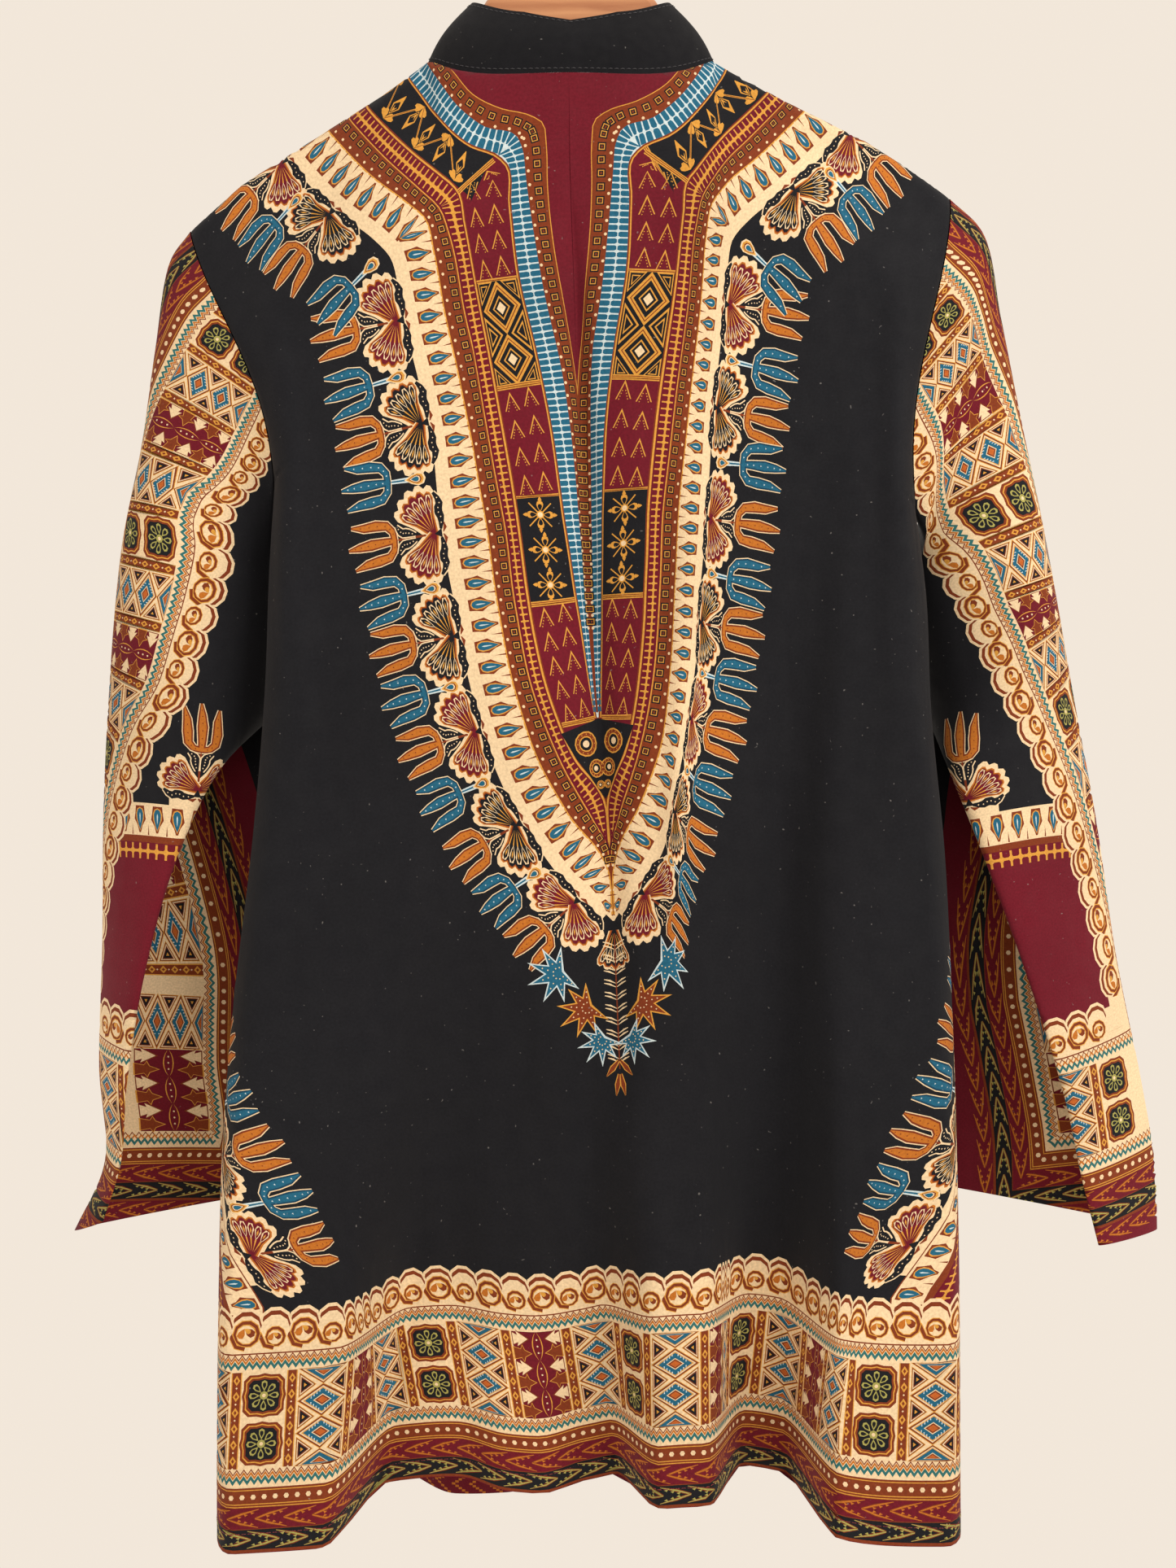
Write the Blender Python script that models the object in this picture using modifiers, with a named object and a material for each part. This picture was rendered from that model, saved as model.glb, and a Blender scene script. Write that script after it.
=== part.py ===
"""A long-sleeved dashiki tunic hanging on a wooden hanger, seen from its back.

Metres, +Z up. The back of the tunic faces -Y. The origin is the inside top of the hanger's hook,
where a rod or a nail carries it. Each cut piece of cloth is one open sheet with a Solidify modifier.
"""

from collections import namedtuple
from math import cos, pi, sin, sqrt

import bmesh
import bpy
import numpy as np

# Cloth and seams
CLOTH = 0.0015
SEAM_GAP = 0.0003
SEAM_FLAT = 0.0025

# Neck and collar
NECK_HALF_WIDTH = 0.0845
NECK_SIDE_Z = -0.1234
BACK_NECK_Y = -0.031
BACK_NECK_Z = -0.1430
FRONT_NECK_Y = 0.040
FRONT_NECK_Z = -0.1850
COLLAR_HALF_WIDTH = 0.0590
COLLAR_SIDE_Z = -0.0885
COLLAR_BACK_Y = -0.027
COLLAR_BACK_Z = -0.1065
COLLAR_FRONT_Y = 0.031
COLLAR_FRONT_Z = -0.1465
COLLAR_DIP = 0.0045
COLLAR_END_GAP = 0.0040
COLLAR_ROWS = 4
COLLAR_BOW = 0.0012
COLLAR_SEAM_LIFT = 0.0006
COLLAR_SIDE_LIFT = 0.0012
NECK_CORNER_REACH = 0.020
NECK_CORNER_GAP = 0.0009
NECK_CORNER_STEP = 0.0035
NECK_STRIP = 0.0012

# Body panels
SHOULDER_ROUND = 0.0100
SHOULDER_FALL = 0.090
SIDE_ROUND = 0.018
ARMHOLE_ROWS = 11
SKIRT_ROWS = 15
BACK_COLUMNS = 38
FRONT_COLUMNS = 26
EDGE_CROWDING = 0.65
STRIP_SHARE = 0.3
FRONT_SLIT_HALF = 0.0015
FRONT_SLIT_BOTTOM_Z = -0.405

# Armholes and sleeves
ARMHOLE_DEPTH = 0.0180
ARMHOLE_DIP = 0.0170
ARMHOLE_DIP_SLANT = 1.1
SLEEVE_COLUMNS = 20
SLEEVE_ROWS = 21
SLEEVE_SEAM_GAP = 0.0005
UNDERARM_GAP = 0.0009

# Hanger
ARM_HALF_THICKNESS = 0.0058
ARM_CLEARANCE = 0.0042
ARM_END_INSET = 0.010
ARM_BEVEL = 0.0048
HOOK_WIRE_RADIUS = 0.0018
HOOK_RADIUS = 0.020
HOOK_FOOT_Z = -0.0577

# The shoulder seams, from the left tip to the right tip: the left shoulder hangs lower.
ShoulderPoint = namedtuple("ShoulderPoint", "x z")
SHOULDERS = [
    ShoulderPoint(-0.2235, -0.2218),
    ShoulderPoint(-0.1928, -0.1945),
    ShoulderPoint(-0.1448, -0.1642),
    ShoulderPoint(-0.1100, -0.1420),
    ShoulderPoint(-NECK_HALF_WIDTH, NECK_SIDE_Z),
    ShoulderPoint(NECK_HALF_WIDTH, NECK_SIDE_Z),
    ShoulderPoint(0.1240, -0.1450),
    ShoulderPoint(0.1720, -0.1690),
    ShoulderPoint(0.1960, -0.1840),
    ShoulderPoint(0.2224, -0.2026),
]

# The underarm points, where the armholes end and the side seams start
Underarm = namedtuple("Underarm", "x z")
LEFT_UNDERARM = Underarm(-0.1740, -0.3715)
RIGHT_UNDERARM = Underarm(0.2020, -0.3880)

# The side seams. down is the fraction of the way from the underarm to the hem.
SideSeam = namedtuple("SideSeam", "down left_x right_x y")
SIDE_SEAMS = [
    SideSeam(0.00, -0.1740, 0.2020, 0.000),
    SideSeam(0.08, -0.1775, 0.2085, 0.001),
    SideSeam(0.20, -0.1805, 0.2120, 0.002),
    SideSeam(0.34, -0.1880, 0.2205, 0.004),
    SideSeam(0.50, -0.2000, 0.2255, 0.007),
    SideSeam(0.65, -0.2072, 0.2286, 0.009),
    SideSeam(0.82, -0.2090, 0.2305, 0.011),
    SideSeam(1.00, -0.2070, 0.2290, 0.012),
]

# The hem heights across the back and the front
HemPoint = namedtuple("HemPoint", "across back_z front_z")
HEM = [
    HemPoint(0.00, -0.9800, -0.9800),
    HemPoint(0.15, -0.9760, -0.9850),
    HemPoint(0.30, -0.9690, -0.9950),
    HemPoint(0.45, -0.9740, -0.9920),
    HemPoint(0.60, -0.9620, -0.9850),
    HemPoint(0.72, -0.9620, -0.9800),
    HemPoint(0.85, -0.9740, -0.9800),
    HemPoint(1.00, -0.9760, -0.9760),
]

# How far each panel stands from the plane of the side seams, before its folds
PanelDepth = namedtuple("PanelDepth", "z back front")
PANEL_DEPTHS = [
    PanelDepth(-0.15, 0.026, 0.027),
    PanelDepth(-0.35, 0.025, 0.026),
    PanelDepth(-0.50, 0.021, 0.028),
    PanelDepth(-0.70, 0.008, 0.034),
    PanelDepth(-0.85, -0.006, 0.042),
    PanelDepth(-1.00, -0.017, 0.048),
]

# Folds. rise is towards the outside of the panel, half the half width of the crown, flank what follows it.
FoldSection = namedtuple("FoldSection", "z x rise half flank")
BACK_FOLDS = {
    "left drape": [
        FoldSection(-0.38, -0.115, 0.002, 0.020, 0.060),
        FoldSection(-0.60, -0.142, 0.014, 0.024, 0.056),
        FoldSection(-0.78, -0.158, 0.038, 0.032, 0.040),
        FoldSection(-1.00, -0.173, 0.074, 0.032, 0.026),
    ],
    "axis crease": [
        FoldSection(-0.20, -0.002, 0.000, 0.000, 0.030),
        FoldSection(-0.34, 0.006, -0.006, 0.000, 0.034),
        FoldSection(-0.52, 0.018, -0.009, 0.000, 0.036),
        FoldSection(-0.68, 0.026, -0.003, 0.000, 0.040),
        FoldSection(-0.76, 0.030, 0.000, 0.000, 0.040),
    ],
    "middle drape": [
        FoldSection(-0.30, 0.062, 0.000, 0.010, 0.045),
        FoldSection(-0.55, 0.060, 0.007, 0.012, 0.045),
        FoldSection(-0.75, 0.060, 0.022, 0.012, 0.040),
        FoldSection(-1.00, 0.066, 0.058, 0.013, 0.025),
    ],
    "right drape": [
        FoldSection(-0.38, 0.165, 0.003, 0.020, 0.040),
        FoldSection(-0.60, 0.182, 0.014, 0.024, 0.040),
        FoldSection(-0.78, 0.186, 0.038, 0.030, 0.034),
        FoldSection(-1.00, 0.186, 0.072, 0.036, 0.020),
    ],
    "small ripple": [
        FoldSection(-0.72, -0.040, 0.000, 0.008, 0.030),
        FoldSection(-0.85, -0.034, 0.006, 0.008, 0.030),
        FoldSection(-1.00, -0.028, 0.012, 0.010, 0.028),
    ],
}
FRONT_FOLDS = {
    "left drape": [
        FoldSection(-0.40, -0.120, 0.002, 0.020, 0.050),
        FoldSection(-0.75, -0.130, 0.014, 0.022, 0.045),
        FoldSection(-1.00, -0.135, 0.022, 0.022, 0.040),
    ],
    "middle drape": [
        FoldSection(-0.45, 0.030, 0.000, 0.012, 0.040),
        FoldSection(-0.75, 0.020, 0.010, 0.012, 0.040),
        FoldSection(-1.00, 0.010, 0.016, 0.014, 0.038),
    ],
    "right drape": [
        FoldSection(-0.40, 0.130, 0.002, 0.020, 0.050),
        FoldSection(-0.75, 0.145, 0.012, 0.022, 0.045),
        FoldSection(-1.00, 0.150, 0.024, 0.022, 0.040),
    ],
}

# Sleeve sections, from the armhole to the cuff. near_ is the edge on the side of the body and the back,
# outer_ the outside fold, far_ the edge on the side of the front. Where near and far are the same point
# the sleeve is a closed tube. near_bulge and far_bulge are how far the two halves swell.
SleeveSection = namedtuple(
    "SleeveSection",
    "down near_x near_y near_z outer_x outer_y outer_z far_x far_y far_z near_bulge far_bulge",
)
LEFT_SLEEVE = [
    SleeveSection(0.00, -0.1743, 0.000, -0.3715, -0.2238, 0.000, -0.2218,
                  -0.1743, 0.000, -0.3715, 0.018, 0.018),
    SleeveSection(0.07, -0.1810, 0.010, -0.3880, -0.2410, 0.003, -0.2400,
                  -0.1810, 0.010, -0.3880, 0.022, 0.021),
    SleeveSection(0.16, -0.1855, 0.026, -0.4150, -0.2500, 0.008, -0.2900,
                  -0.1855, 0.026, -0.4150, 0.029, 0.022),
    SleeveSection(0.26, -0.1872, 0.034, -0.4480, -0.2585, 0.014, -0.3450,
                  -0.1872, 0.034, -0.4480, 0.036, 0.026),
    SleeveSection(0.36, -0.1885, 0.038, -0.4800, -0.2690, 0.019, -0.4030,
                  -0.1885, 0.038, -0.4800, 0.040, 0.029),
    SleeveSection(0.43, -0.1900, 0.038, -0.5000, -0.2745, 0.022, -0.4450,
                  -0.1900, 0.038, -0.5000, 0.041, 0.031),
    SleeveSection(0.50, -0.2050, 0.008, -0.5340, -0.2800, 0.025, -0.4950,
                  -0.1900, 0.050, -0.5380, 0.022, 0.018),
    SleeveSection(0.60, -0.2290, -0.002, -0.5850, -0.2845, 0.028, -0.5600,
                  -0.1900, 0.060, -0.5850, 0.012, 0.010),
    SleeveSection(0.72, -0.2490, -0.004, -0.6550, -0.2860, 0.030, -0.6400,
                  -0.1910, 0.064, -0.6550, 0.008, 0.006),
    SleeveSection(0.84, -0.2610, -0.002, -0.7250, -0.2880, 0.030, -0.7200,
                  -0.1910, 0.067, -0.7220, 0.006, 0.005),
    SleeveSection(0.94, -0.2660, 0.000, -0.7750, -0.2850, 0.028, -0.7820,
                  -0.1915, 0.068, -0.7740, 0.005, 0.006),
    SleeveSection(1.00, -0.2750, -0.002, -0.8050, -0.3010, 0.024, -0.8180,
                  -0.1920, 0.068, -0.8080, 0.004, 0.006),
]
RIGHT_SLEEVE = [
    SleeveSection(0.00, 0.2023, 0.000, -0.3880, 0.2227, 0.000, -0.2026,
                  0.2023, 0.000, -0.3880, 0.018, 0.018),
    SleeveSection(0.07, 0.2100, 0.010, -0.4020, 0.2430, 0.003, -0.2220,
                  0.2100, 0.010, -0.4020, 0.022, 0.021),
    SleeveSection(0.16, 0.2145, 0.024, -0.4260, 0.2545, 0.008, -0.2700,
                  0.2145, 0.024, -0.4260, 0.028, 0.023),
    SleeveSection(0.26, 0.2165, 0.032, -0.4560, 0.2680, 0.014, -0.3300,
                  0.2165, 0.032, -0.4560, 0.035, 0.027),
    SleeveSection(0.36, 0.2175, 0.036, -0.4870, 0.2830, 0.019, -0.3950,
                  0.2175, 0.036, -0.4870, 0.038, 0.030),
    SleeveSection(0.43, 0.2180, 0.036, -0.5050, 0.2930, 0.022, -0.4450,
                  0.2180, 0.036, -0.5050, 0.039, 0.031),
    SleeveSection(0.50, 0.2235, 0.006, -0.5380, 0.3045, 0.025, -0.4980,
                  0.2120, 0.048, -0.5400, 0.022, 0.020),
    SleeveSection(0.60, 0.2410, -0.004, -0.5880, 0.3180, 0.027, -0.5650,
                  0.2080, 0.059, -0.5850, 0.012, 0.010),
    SleeveSection(0.72, 0.2660, -0.006, -0.6580, 0.3310, 0.028, -0.6500,
                  0.2070, 0.064, -0.6520, 0.008, 0.006),
    SleeveSection(0.84, 0.2890, -0.004, -0.7300, 0.3470, 0.027, -0.7320,
                  0.2070, 0.067, -0.7180, 0.006, 0.005),
    SleeveSection(0.94, 0.3010, -0.002, -0.7830, 0.3540, 0.024, -0.7840,
                  0.2080, 0.068, -0.7680, 0.005, 0.006),
    SleeveSection(1.00, 0.3100, -0.002, -0.8189, 0.3540, 0.022, -0.8165,
                  0.2090, 0.068, -0.7990, 0.004, 0.006),
]
SLEEVE_SLIT_TOP = 0.43
ARMHOLE_SHAPE_ENDS = 0.26

# The hanger's wooden outline, right half: x, how far the top edge is under the hook, height of the wood.
HangerPoint = namedtuple("HangerPoint", "x top_z height")
HANGER_HUMP = [
    HangerPoint(0.000, -0.0580, 0.052),
    HangerPoint(0.018, -0.0600, 0.050),
    HangerPoint(0.034, -0.0690, 0.046),
    HangerPoint(0.050, -0.0870, 0.040),
    HangerPoint(0.066, -0.1115, 0.034),
]
ARM_HEIGHT = 0.028
ARM_TIP_HEIGHT = 0.022

Finish = namedtuple("Finish", "colour roughness metallic")
FINISHES = {
    "back": Finish((0.016, 0.014, 0.015), 0.85, 0.0),
    "front": Finish((0.016, 0.014, 0.015), 0.85, 0.0),
    "sleeve_left": Finish((0.23, 0.08, 0.03), 0.85, 0.0),
    "sleeve_right": Finish((0.23, 0.08, 0.03), 0.85, 0.0),
    "collar": Finish((0.012, 0.012, 0.014), 0.85, 0.0),
    "hanger": Finish((0.55, 0.24, 0.10), 0.45, 0.0),
    "hanger_hook": Finish((0.70, 0.70, 0.72), 0.25, 1.0),
}


def clear_scene():
    for obj in list(bpy.data.objects):
        bpy.data.objects.remove(obj, do_unlink=True)


def through(keys, values, at):
    """Reads a smooth curve through a table's values at one key, or at an array of keys."""
    keys = np.asarray(keys, float)
    values = np.asarray(values, float)
    at = np.clip(np.asarray(at, float), keys[0], keys[-1])
    slopes = np.gradient(values, keys)
    low = np.clip(np.searchsorted(keys, at, side="right") - 1, 0, len(keys) - 2)
    span = keys[low + 1] - keys[low]
    t = (at - keys[low]) / span
    start = values[low] * (1 + 2 * t) * (1 - t) ** 2 + slopes[low] * span * t * (1 - t) ** 2
    end = values[low + 1] * t * t * (3 - 2 * t) - slopes[low + 1] * span * t * t * (1 - t)
    return start + end


def column(rows, name):
    return [getattr(row, name) for row in rows]


def smooth_step(t):
    t = min(max(t, 0.0), 1.0)
    return t * t * (3 - 2 * t)


def quarter_round(t):
    """Rises as a quarter of an ellipse from 0 at t = 0 to 1 at t = 1, and stays there."""
    t = min(max(t, 0.0), 1.0)
    return sqrt(1 - (1 - t) ** 2)


def shoulder_z(x):
    return float(np.interp(x, column(SHOULDERS, "x"), column(SHOULDERS, "z")))


def neck_point(x, back):
    """(y, z) of the neck edge at x, on the back or on the front panel."""
    reach = min(abs(x) / NECK_HALF_WIDTH, 1.0)
    if back:
        y = BACK_NECK_Y * sqrt(1 - reach**2)
        z = BACK_NECK_Z + (NECK_SIDE_Z - BACK_NECK_Z) * reach**4
    else:
        y = FRONT_NECK_Y * sqrt(1 - reach**2)
        z = FRONT_NECK_Z + (NECK_SIDE_Z - FRONT_NECK_Z) * reach**2.5
    return y, z


def armhole_point(left, turn):
    """(x, depth, z) of an armhole's edge. turn runs from 0 at the underarm to pi at the shoulder tip."""
    low = LEFT_UNDERARM if left else RIGHT_UNDERARM
    tip = SHOULDERS[0] if left else SHOULDERS[-1]
    up = (1 - cos(turn)) / 2
    x = low.x + (tip.x - low.x) * up
    z = low.z + (tip.z - low.z) * up
    dip = ARMHOLE_DIP * sin(pi * up) * (1 - ARMHOLE_DIP_SLANT * up)
    inward = 1 if left else -1
    return x + inward * dip, ARMHOLE_DEPTH * sin(turn), z


def edge_points(left):
    """The rows of a panel's side edge as (x, y, depth, z): first down the armhole, then the side seam."""
    points = []
    for row in range(ARMHOLE_ROWS + 1):
        x, depth, z = armhole_point(left, pi * (1 - row / ARMHOLE_ROWS))
        points.append((x, 0.0, max(depth, SEAM_FLAT), z))
    low = LEFT_UNDERARM if left else RIGHT_UNDERARM
    hem_z = HEM[0].back_z if left else HEM[-1].back_z
    downs = column(SIDE_SEAMS, "down")
    for row in range(1, SKIRT_ROWS + 1):
        down = row / SKIRT_ROWS
        x = float(through(downs, column(SIDE_SEAMS, "left_x" if left else "right_x"), down))
        y = float(through(downs, column(SIDE_SEAMS, "y"), down))
        points.append((x, y, SEAM_FLAT, low.z + (hem_z - low.z) * down))
    return points


def fold_rise(folds, x, z):
    """The sum of the folds at a place on a panel."""
    total = 0.0
    for sections in folds.values():
        keys = [-section.z for section in sections]
        centre, rise, half, flank = (
            float(through(keys, column(sections, name), -z)) for name in ("x", "rise", "half", "flank")
        )
        if -z < keys[0]:
            rise = sections[0].rise
        total += rise * smooth_step((half + flank - abs(x - centre)) / flank)
    return total


def panel_depth(back, x, z):
    keys = [-row.z for row in PANEL_DEPTHS]
    base = float(through(keys, column(PANEL_DEPTHS, "back" if back else "front"), -z))
    return base + fold_rise(BACK_FOLDS if back else FRONT_FOLDS, x, z)


def across_steps(back):
    """Fractions across a panel, crowded towards both edges, with a column at each end of the neck.

    The front's slit is one narrow column in the middle.
    """
    width = SHOULDERS[-1].x - SHOULDERS[0].x
    columns = BACK_COLUMNS if back else FRONT_COLUMNS
    plain = np.linspace(0, 1, columns + 1)
    crowded = (1 - np.cos(pi * plain)) / 2
    steps = (1 - EDGE_CROWDING) * plain + EDGE_CROWDING * crowded
    for side in (-1, 1):
        corner = (side * NECK_HALF_WIDTH - SHOULDERS[0].x) / width
        steps[np.argmin(abs(steps - corner))] = corner
        inside_corner = corner - side * NECK_CORNER_STEP / width
        steps = np.sort(np.append(steps, inside_corner))
    if not back:
        slit_half = FRONT_SLIT_HALF / width
        middle = len(steps) // 2
        steps = np.delete(steps, middle)
        steps = np.insert(steps, middle, [0.5 - slit_half, 0.5 + slit_half])
    return steps


def top_xs(back):
    """The x of each column where it starts, on the shoulder seam or the neck edge."""
    return SHOULDERS[0].x + (SHOULDERS[-1].x - SHOULDERS[0].x) * across_steps(back)


def on_neck_edge(x):
    return abs(x) < NECK_HALF_WIDTH - 1e-6


def panel_column(back, across, top_x):
    """(top depth, top z, hem z) of one column of a panel."""
    hem_z = float(through(column(HEM, "across"), column(HEM, "back_z" if back else "front_z"), across))
    if on_neck_edge(top_x):
        neck_y, top_z = neck_point(top_x, back)
        return abs(neck_y), top_z, hem_z
    return 0.0, shoulder_z(top_x), hem_z


def depth_below_top(back, top_depth, drop, full):
    """How far the cloth stands out at a drop under its top: over the hanger's arm, then out to full."""
    neck_share = top_depth / abs(BACK_NECK_Y if back else FRONT_NECK_Y)
    lip = (1 - neck_share) * SHOULDER_ROUND
    rest = full - top_depth - lip
    return top_depth + lip * quarter_round(drop / SHOULDER_ROUND) + rest * smooth_step(drop / SHOULDER_FALL)


def top_rows(back):
    """The panel's two first rows: the seam or neck edge itself, and a strip's width from it."""
    outside = -1 if back else 1
    edge_row = []
    strip_row = []
    for across, top_x in zip(across_steps(back), top_xs(back)):
        top_depth, top_z, _ = panel_column(back, across, top_x)
        if on_neck_edge(top_x):
            strip_depth = depth_below_top(back, top_depth, NECK_STRIP, panel_depth(back, top_x, top_z))
            edge_row.append([top_x, outside * top_depth, top_z])
            strip_row.append([top_x, outside * strip_depth, top_z - NECK_STRIP])
            continue
        corner_share = max(0.0, 1 - (abs(top_x) - NECK_HALF_WIDTH) / NECK_CORNER_REACH)
        seam_depth = SEAM_GAP / 2 + NECK_CORNER_GAP * corner_share
        edge_row.append([top_x, outside * seam_depth, top_z])
        strip_row.append([top_x, outside * SEAM_FLAT, top_z])
    return [edge_row, strip_row]


def panel_points(back):
    """The rows of points of the back's or the front's outer face, from its top edge to its hem."""
    outside = -1 if back else 1
    left_edge = edge_points(True)
    right_edge = edge_points(False)
    rows = top_rows(back)
    for left, right in zip(left_edge[1:], right_edge[1:]):
        left_down = (left_edge[0][3] - left[3]) / (left_edge[0][3] - left_edge[-1][3])
        right_down = (right_edge[0][3] - right[3]) / (right_edge[0][3] - right_edge[-1][3])
        line = []
        for across, top_x in zip(across_steps(back), top_xs(back)):
            top_depth, top_z, hem_z = panel_column(back, across, top_x)
            down = left_down + (right_down - left_down) * across
            x = left[0] + (right[0] - left[0]) * across
            seam_y = left[1] + (right[1] - left[1]) * across
            z = top_z + (hem_z - top_z) * down
            depth = depth_below_top(back, top_depth, top_z - z, panel_depth(back, x, z))
            from_left = x - left[0]
            from_right = right[0] - x
            edge_depth = left[2] if from_left < from_right else right[2]
            inward = quarter_round(min(from_left, from_right) / SIDE_ROUND)
            line.append([x, seam_y + outside * (edge_depth + (depth - edge_depth) * inward), z])
        rows.append(line)
    return add_side_strips(rows, left_edge, right_edge, outside)


def add_side_strips(rows, left_edge, right_edge, outside):
    """Adds a narrow strip at each side. From the underarm down it meets the other panel face to face."""
    widened = []
    for index, line in enumerate(rows):
        row = max(index - 1, 0)
        first = list(line[0])
        last = list(line[-1])
        if row >= ARMHOLE_ROWS:
            first[1] = left_edge[row][1] + outside * SEAM_GAP / 2
            last[1] = right_edge[row][1] + outside * SEAM_GAP / 2
            widened.append([first] + line + [last])
            continue
        second = [a + (b - a) * STRIP_SHARE for a, b in zip(line[0], line[1])]
        before_last = [a + (b - a) * STRIP_SHARE for a, b in zip(line[-1], line[-2])]
        widened.append([first, second] + line[1:-1] + [before_last, last])
    return widened


def sleeve_points(sections, left):
    """The rows of points round a sleeve, from its near edge over the outside fold to its far edge."""
    downs = column(sections, "down")
    inward = 1 if left else -1
    rows = []
    for row in range(SLEEVE_ROWS + 1):
        down = row / SLEEVE_ROWS
        value = {
            name: float(through(downs, column(sections, name), down))
            for name in SleeveSection._fields[1:]
        }
        near = np.array([value["near_x"], value["near_y"], value["near_z"]])
        outer = np.array([value["outer_x"], value["outer_y"], value["outer_z"]])
        far = np.array([value["far_x"], value["far_y"], value["far_z"]])
        if down <= SLEEVE_SLIT_TOP:
            far = near.copy()
        armhole_share = 1 - smooth_step(down / ARMHOLE_SHAPE_ENDS)
        line = []
        for step in range(SLEEVE_COLUMNS + 1):
            turn = 2 * pi * step / SLEEVE_COLUMNS
            up = (1 - cos(turn)) / 2
            if turn <= pi:
                point = near + (outer - near) * up
                point[1] -= value["near_bulge"] * sin(turn)
            else:
                point = far + (outer - far) * up
                point[1] -= value["far_bulge"] * sin(turn)
            dip = ARMHOLE_DIP * sin(pi * up) * (1 - ARMHOLE_DIP_SLANT * up)
            clear = SLEEVE_SEAM_GAP + UNDERARM_GAP * (1 - up) ** 2
            point[0] += inward * (dip * armhole_share - clear)
            line.append(list(point))
        rows.append(line)
    return rows


def collar_turns():
    """The angles round the neck at which the collar has a column: those of the panels' own columns."""
    end_turn = COLLAR_END_GAP / 2 / NECK_HALF_WIDTH
    front_xs = [x for x in top_xs(False) if x > FRONT_SLIT_HALF * 2 and on_neck_edge(x)]
    back_xs = [x for x in top_xs(True) if on_neck_edge(x)]
    front = [np.arcsin(x / NECK_HALF_WIDTH) for x in front_xs]
    back = [pi - np.arcsin(x / NECK_HALF_WIDTH) for x in back_xs]
    left = [2 * pi - turn for turn in front]
    return [end_turn, *front, pi / 2, *back[::-1], 3 * pi / 2, *left[::-1], 2 * pi - end_turn]


def collar_points():
    """The rows of the collar's outer face, from one end at the centre front round the back to the other."""
    rows = []
    for row in range(COLLAR_ROWS + 1):
        up = row / COLLAR_ROWS
        line = []
        for turn in collar_turns():
            behind = cos(turn) < 0
            low_x = NECK_HALF_WIDTH * sin(turn)
            low_y, low_z = neck_point(low_x, behind)
            high_y = (-COLLAR_BACK_Y if behind else COLLAR_FRONT_Y) * cos(turn)
            high_middle_z = COLLAR_BACK_Z if behind else COLLAR_FRONT_Z
            high_z = high_middle_z + (COLLAR_SIDE_Z - high_middle_z) * abs(sin(turn)) ** 3
            if behind:
                high_z -= COLLAR_DIP * max(0.0, 1 - abs(sin(turn)) / 0.45)
            high_x = COLLAR_HALF_WIDTH * sin(turn)
            bow = COLLAR_BOW * sin(pi * up)
            x = low_x + (high_x - low_x) * up + bow * sin(turn)
            y = low_y + (high_y - low_y) * up + bow * cos(turn)
            lift = COLLAR_SEAM_LIFT + COLLAR_SIDE_LIFT * abs(sin(turn)) ** 6
            z = low_z + lift + (high_z - low_z) * up
            line.append([x, y, z])
        rows.append(line)
    return rows


def sheet(name, rows, turned, welded=None, left_out=None):
    """One cut piece: a grid of faces over the rows of points, with the wall as a Solidify modifier."""
    mesh = bpy.data.meshes.new(name)
    form = bmesh.new()
    grid = []
    for index, line in enumerate(rows):
        verts = [form.verts.new(point) for point in line]
        if welded and welded(index):
            form.verts.remove(verts[-1])
            verts[-1] = verts[0]
        grid.append(verts)
    for row in range(len(grid) - 1):
        for step in range(len(grid[row]) - 1):
            if left_out and left_out(row, step):
                continue
            corners = [grid[row][step], grid[row][step + 1], grid[row + 1][step + 1], grid[row + 1][step]]
            form.faces.new(corners[::-1] if turned else corners)
    loose = [vert for vert in form.verts if not vert.link_faces]
    bmesh.ops.delete(form, geom=loose, context="VERTS")
    form.to_mesh(mesh)
    form.free()
    mesh.shade_smooth()
    obj = bpy.data.objects.new(name, mesh)
    wall = obj.modifiers.new("wall", "SOLIDIFY")
    wall.thickness = CLOTH
    wall.offset = -1
    wall.use_even_offset = True
    return obj


def build_back():
    return sheet("back", panel_points(True), turned=True)


def build_front():
    rows = panel_points(False)
    middle = len(rows[0]) // 2 - 1

    def in_slit(row, step):
        return step == middle and rows[row + 1][step][2] > FRONT_SLIT_BOTTOM_Z

    return sheet("front", rows, turned=False, left_out=in_slit)


def build_sleeve(name, sections, left):
    rows = sleeve_points(sections, left)
    closed_rows = SLEEVE_SLIT_TOP * SLEEVE_ROWS
    return sheet(name, rows, turned=left, welded=lambda index: index <= closed_rows)


def build_collar():
    return sheet("collar", collar_points(), turned=True)


def hanger_outline():
    """The hanger's outline in the (x, z) plane: the hump in the neck, then arms under the shoulder seams."""
    top = []
    bottom = []
    for side in (1, -1):
        tip = SHOULDERS[-1] if side > 0 else SHOULDERS[0]
        last_x = abs(tip.x) - ARM_END_INSET
        arm_xs = np.linspace(NECK_HALF_WIDTH, last_x, 9)
        half_top = [(side * point.x, point.top_z) for point in HANGER_HUMP]
        half_top += [(side * x, shoulder_z(side * x) - ARM_CLEARANCE) for x in arm_xs]
        half_bottom = [(side * point.x, point.top_z - point.height) for point in HANGER_HUMP]
        heights = np.linspace(ARM_HEIGHT, ARM_TIP_HEIGHT, len(arm_xs))
        half_bottom += [
            (side * x, shoulder_z(side * x) - ARM_CLEARANCE - height)
            for x, height in zip(arm_xs, heights)
        ]
        mid_tip = ((half_top[-1][0] + half_bottom[-1][0]) / 2 + side * 0.005,
                   (half_top[-1][1] + half_bottom[-1][1]) / 2 - 0.002)
        half = half_top + [mid_tip] + half_bottom[::-1]
        if side > 0:
            top = half
        else:
            bottom = half[1:-1][::-1]
    return top + bottom


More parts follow.
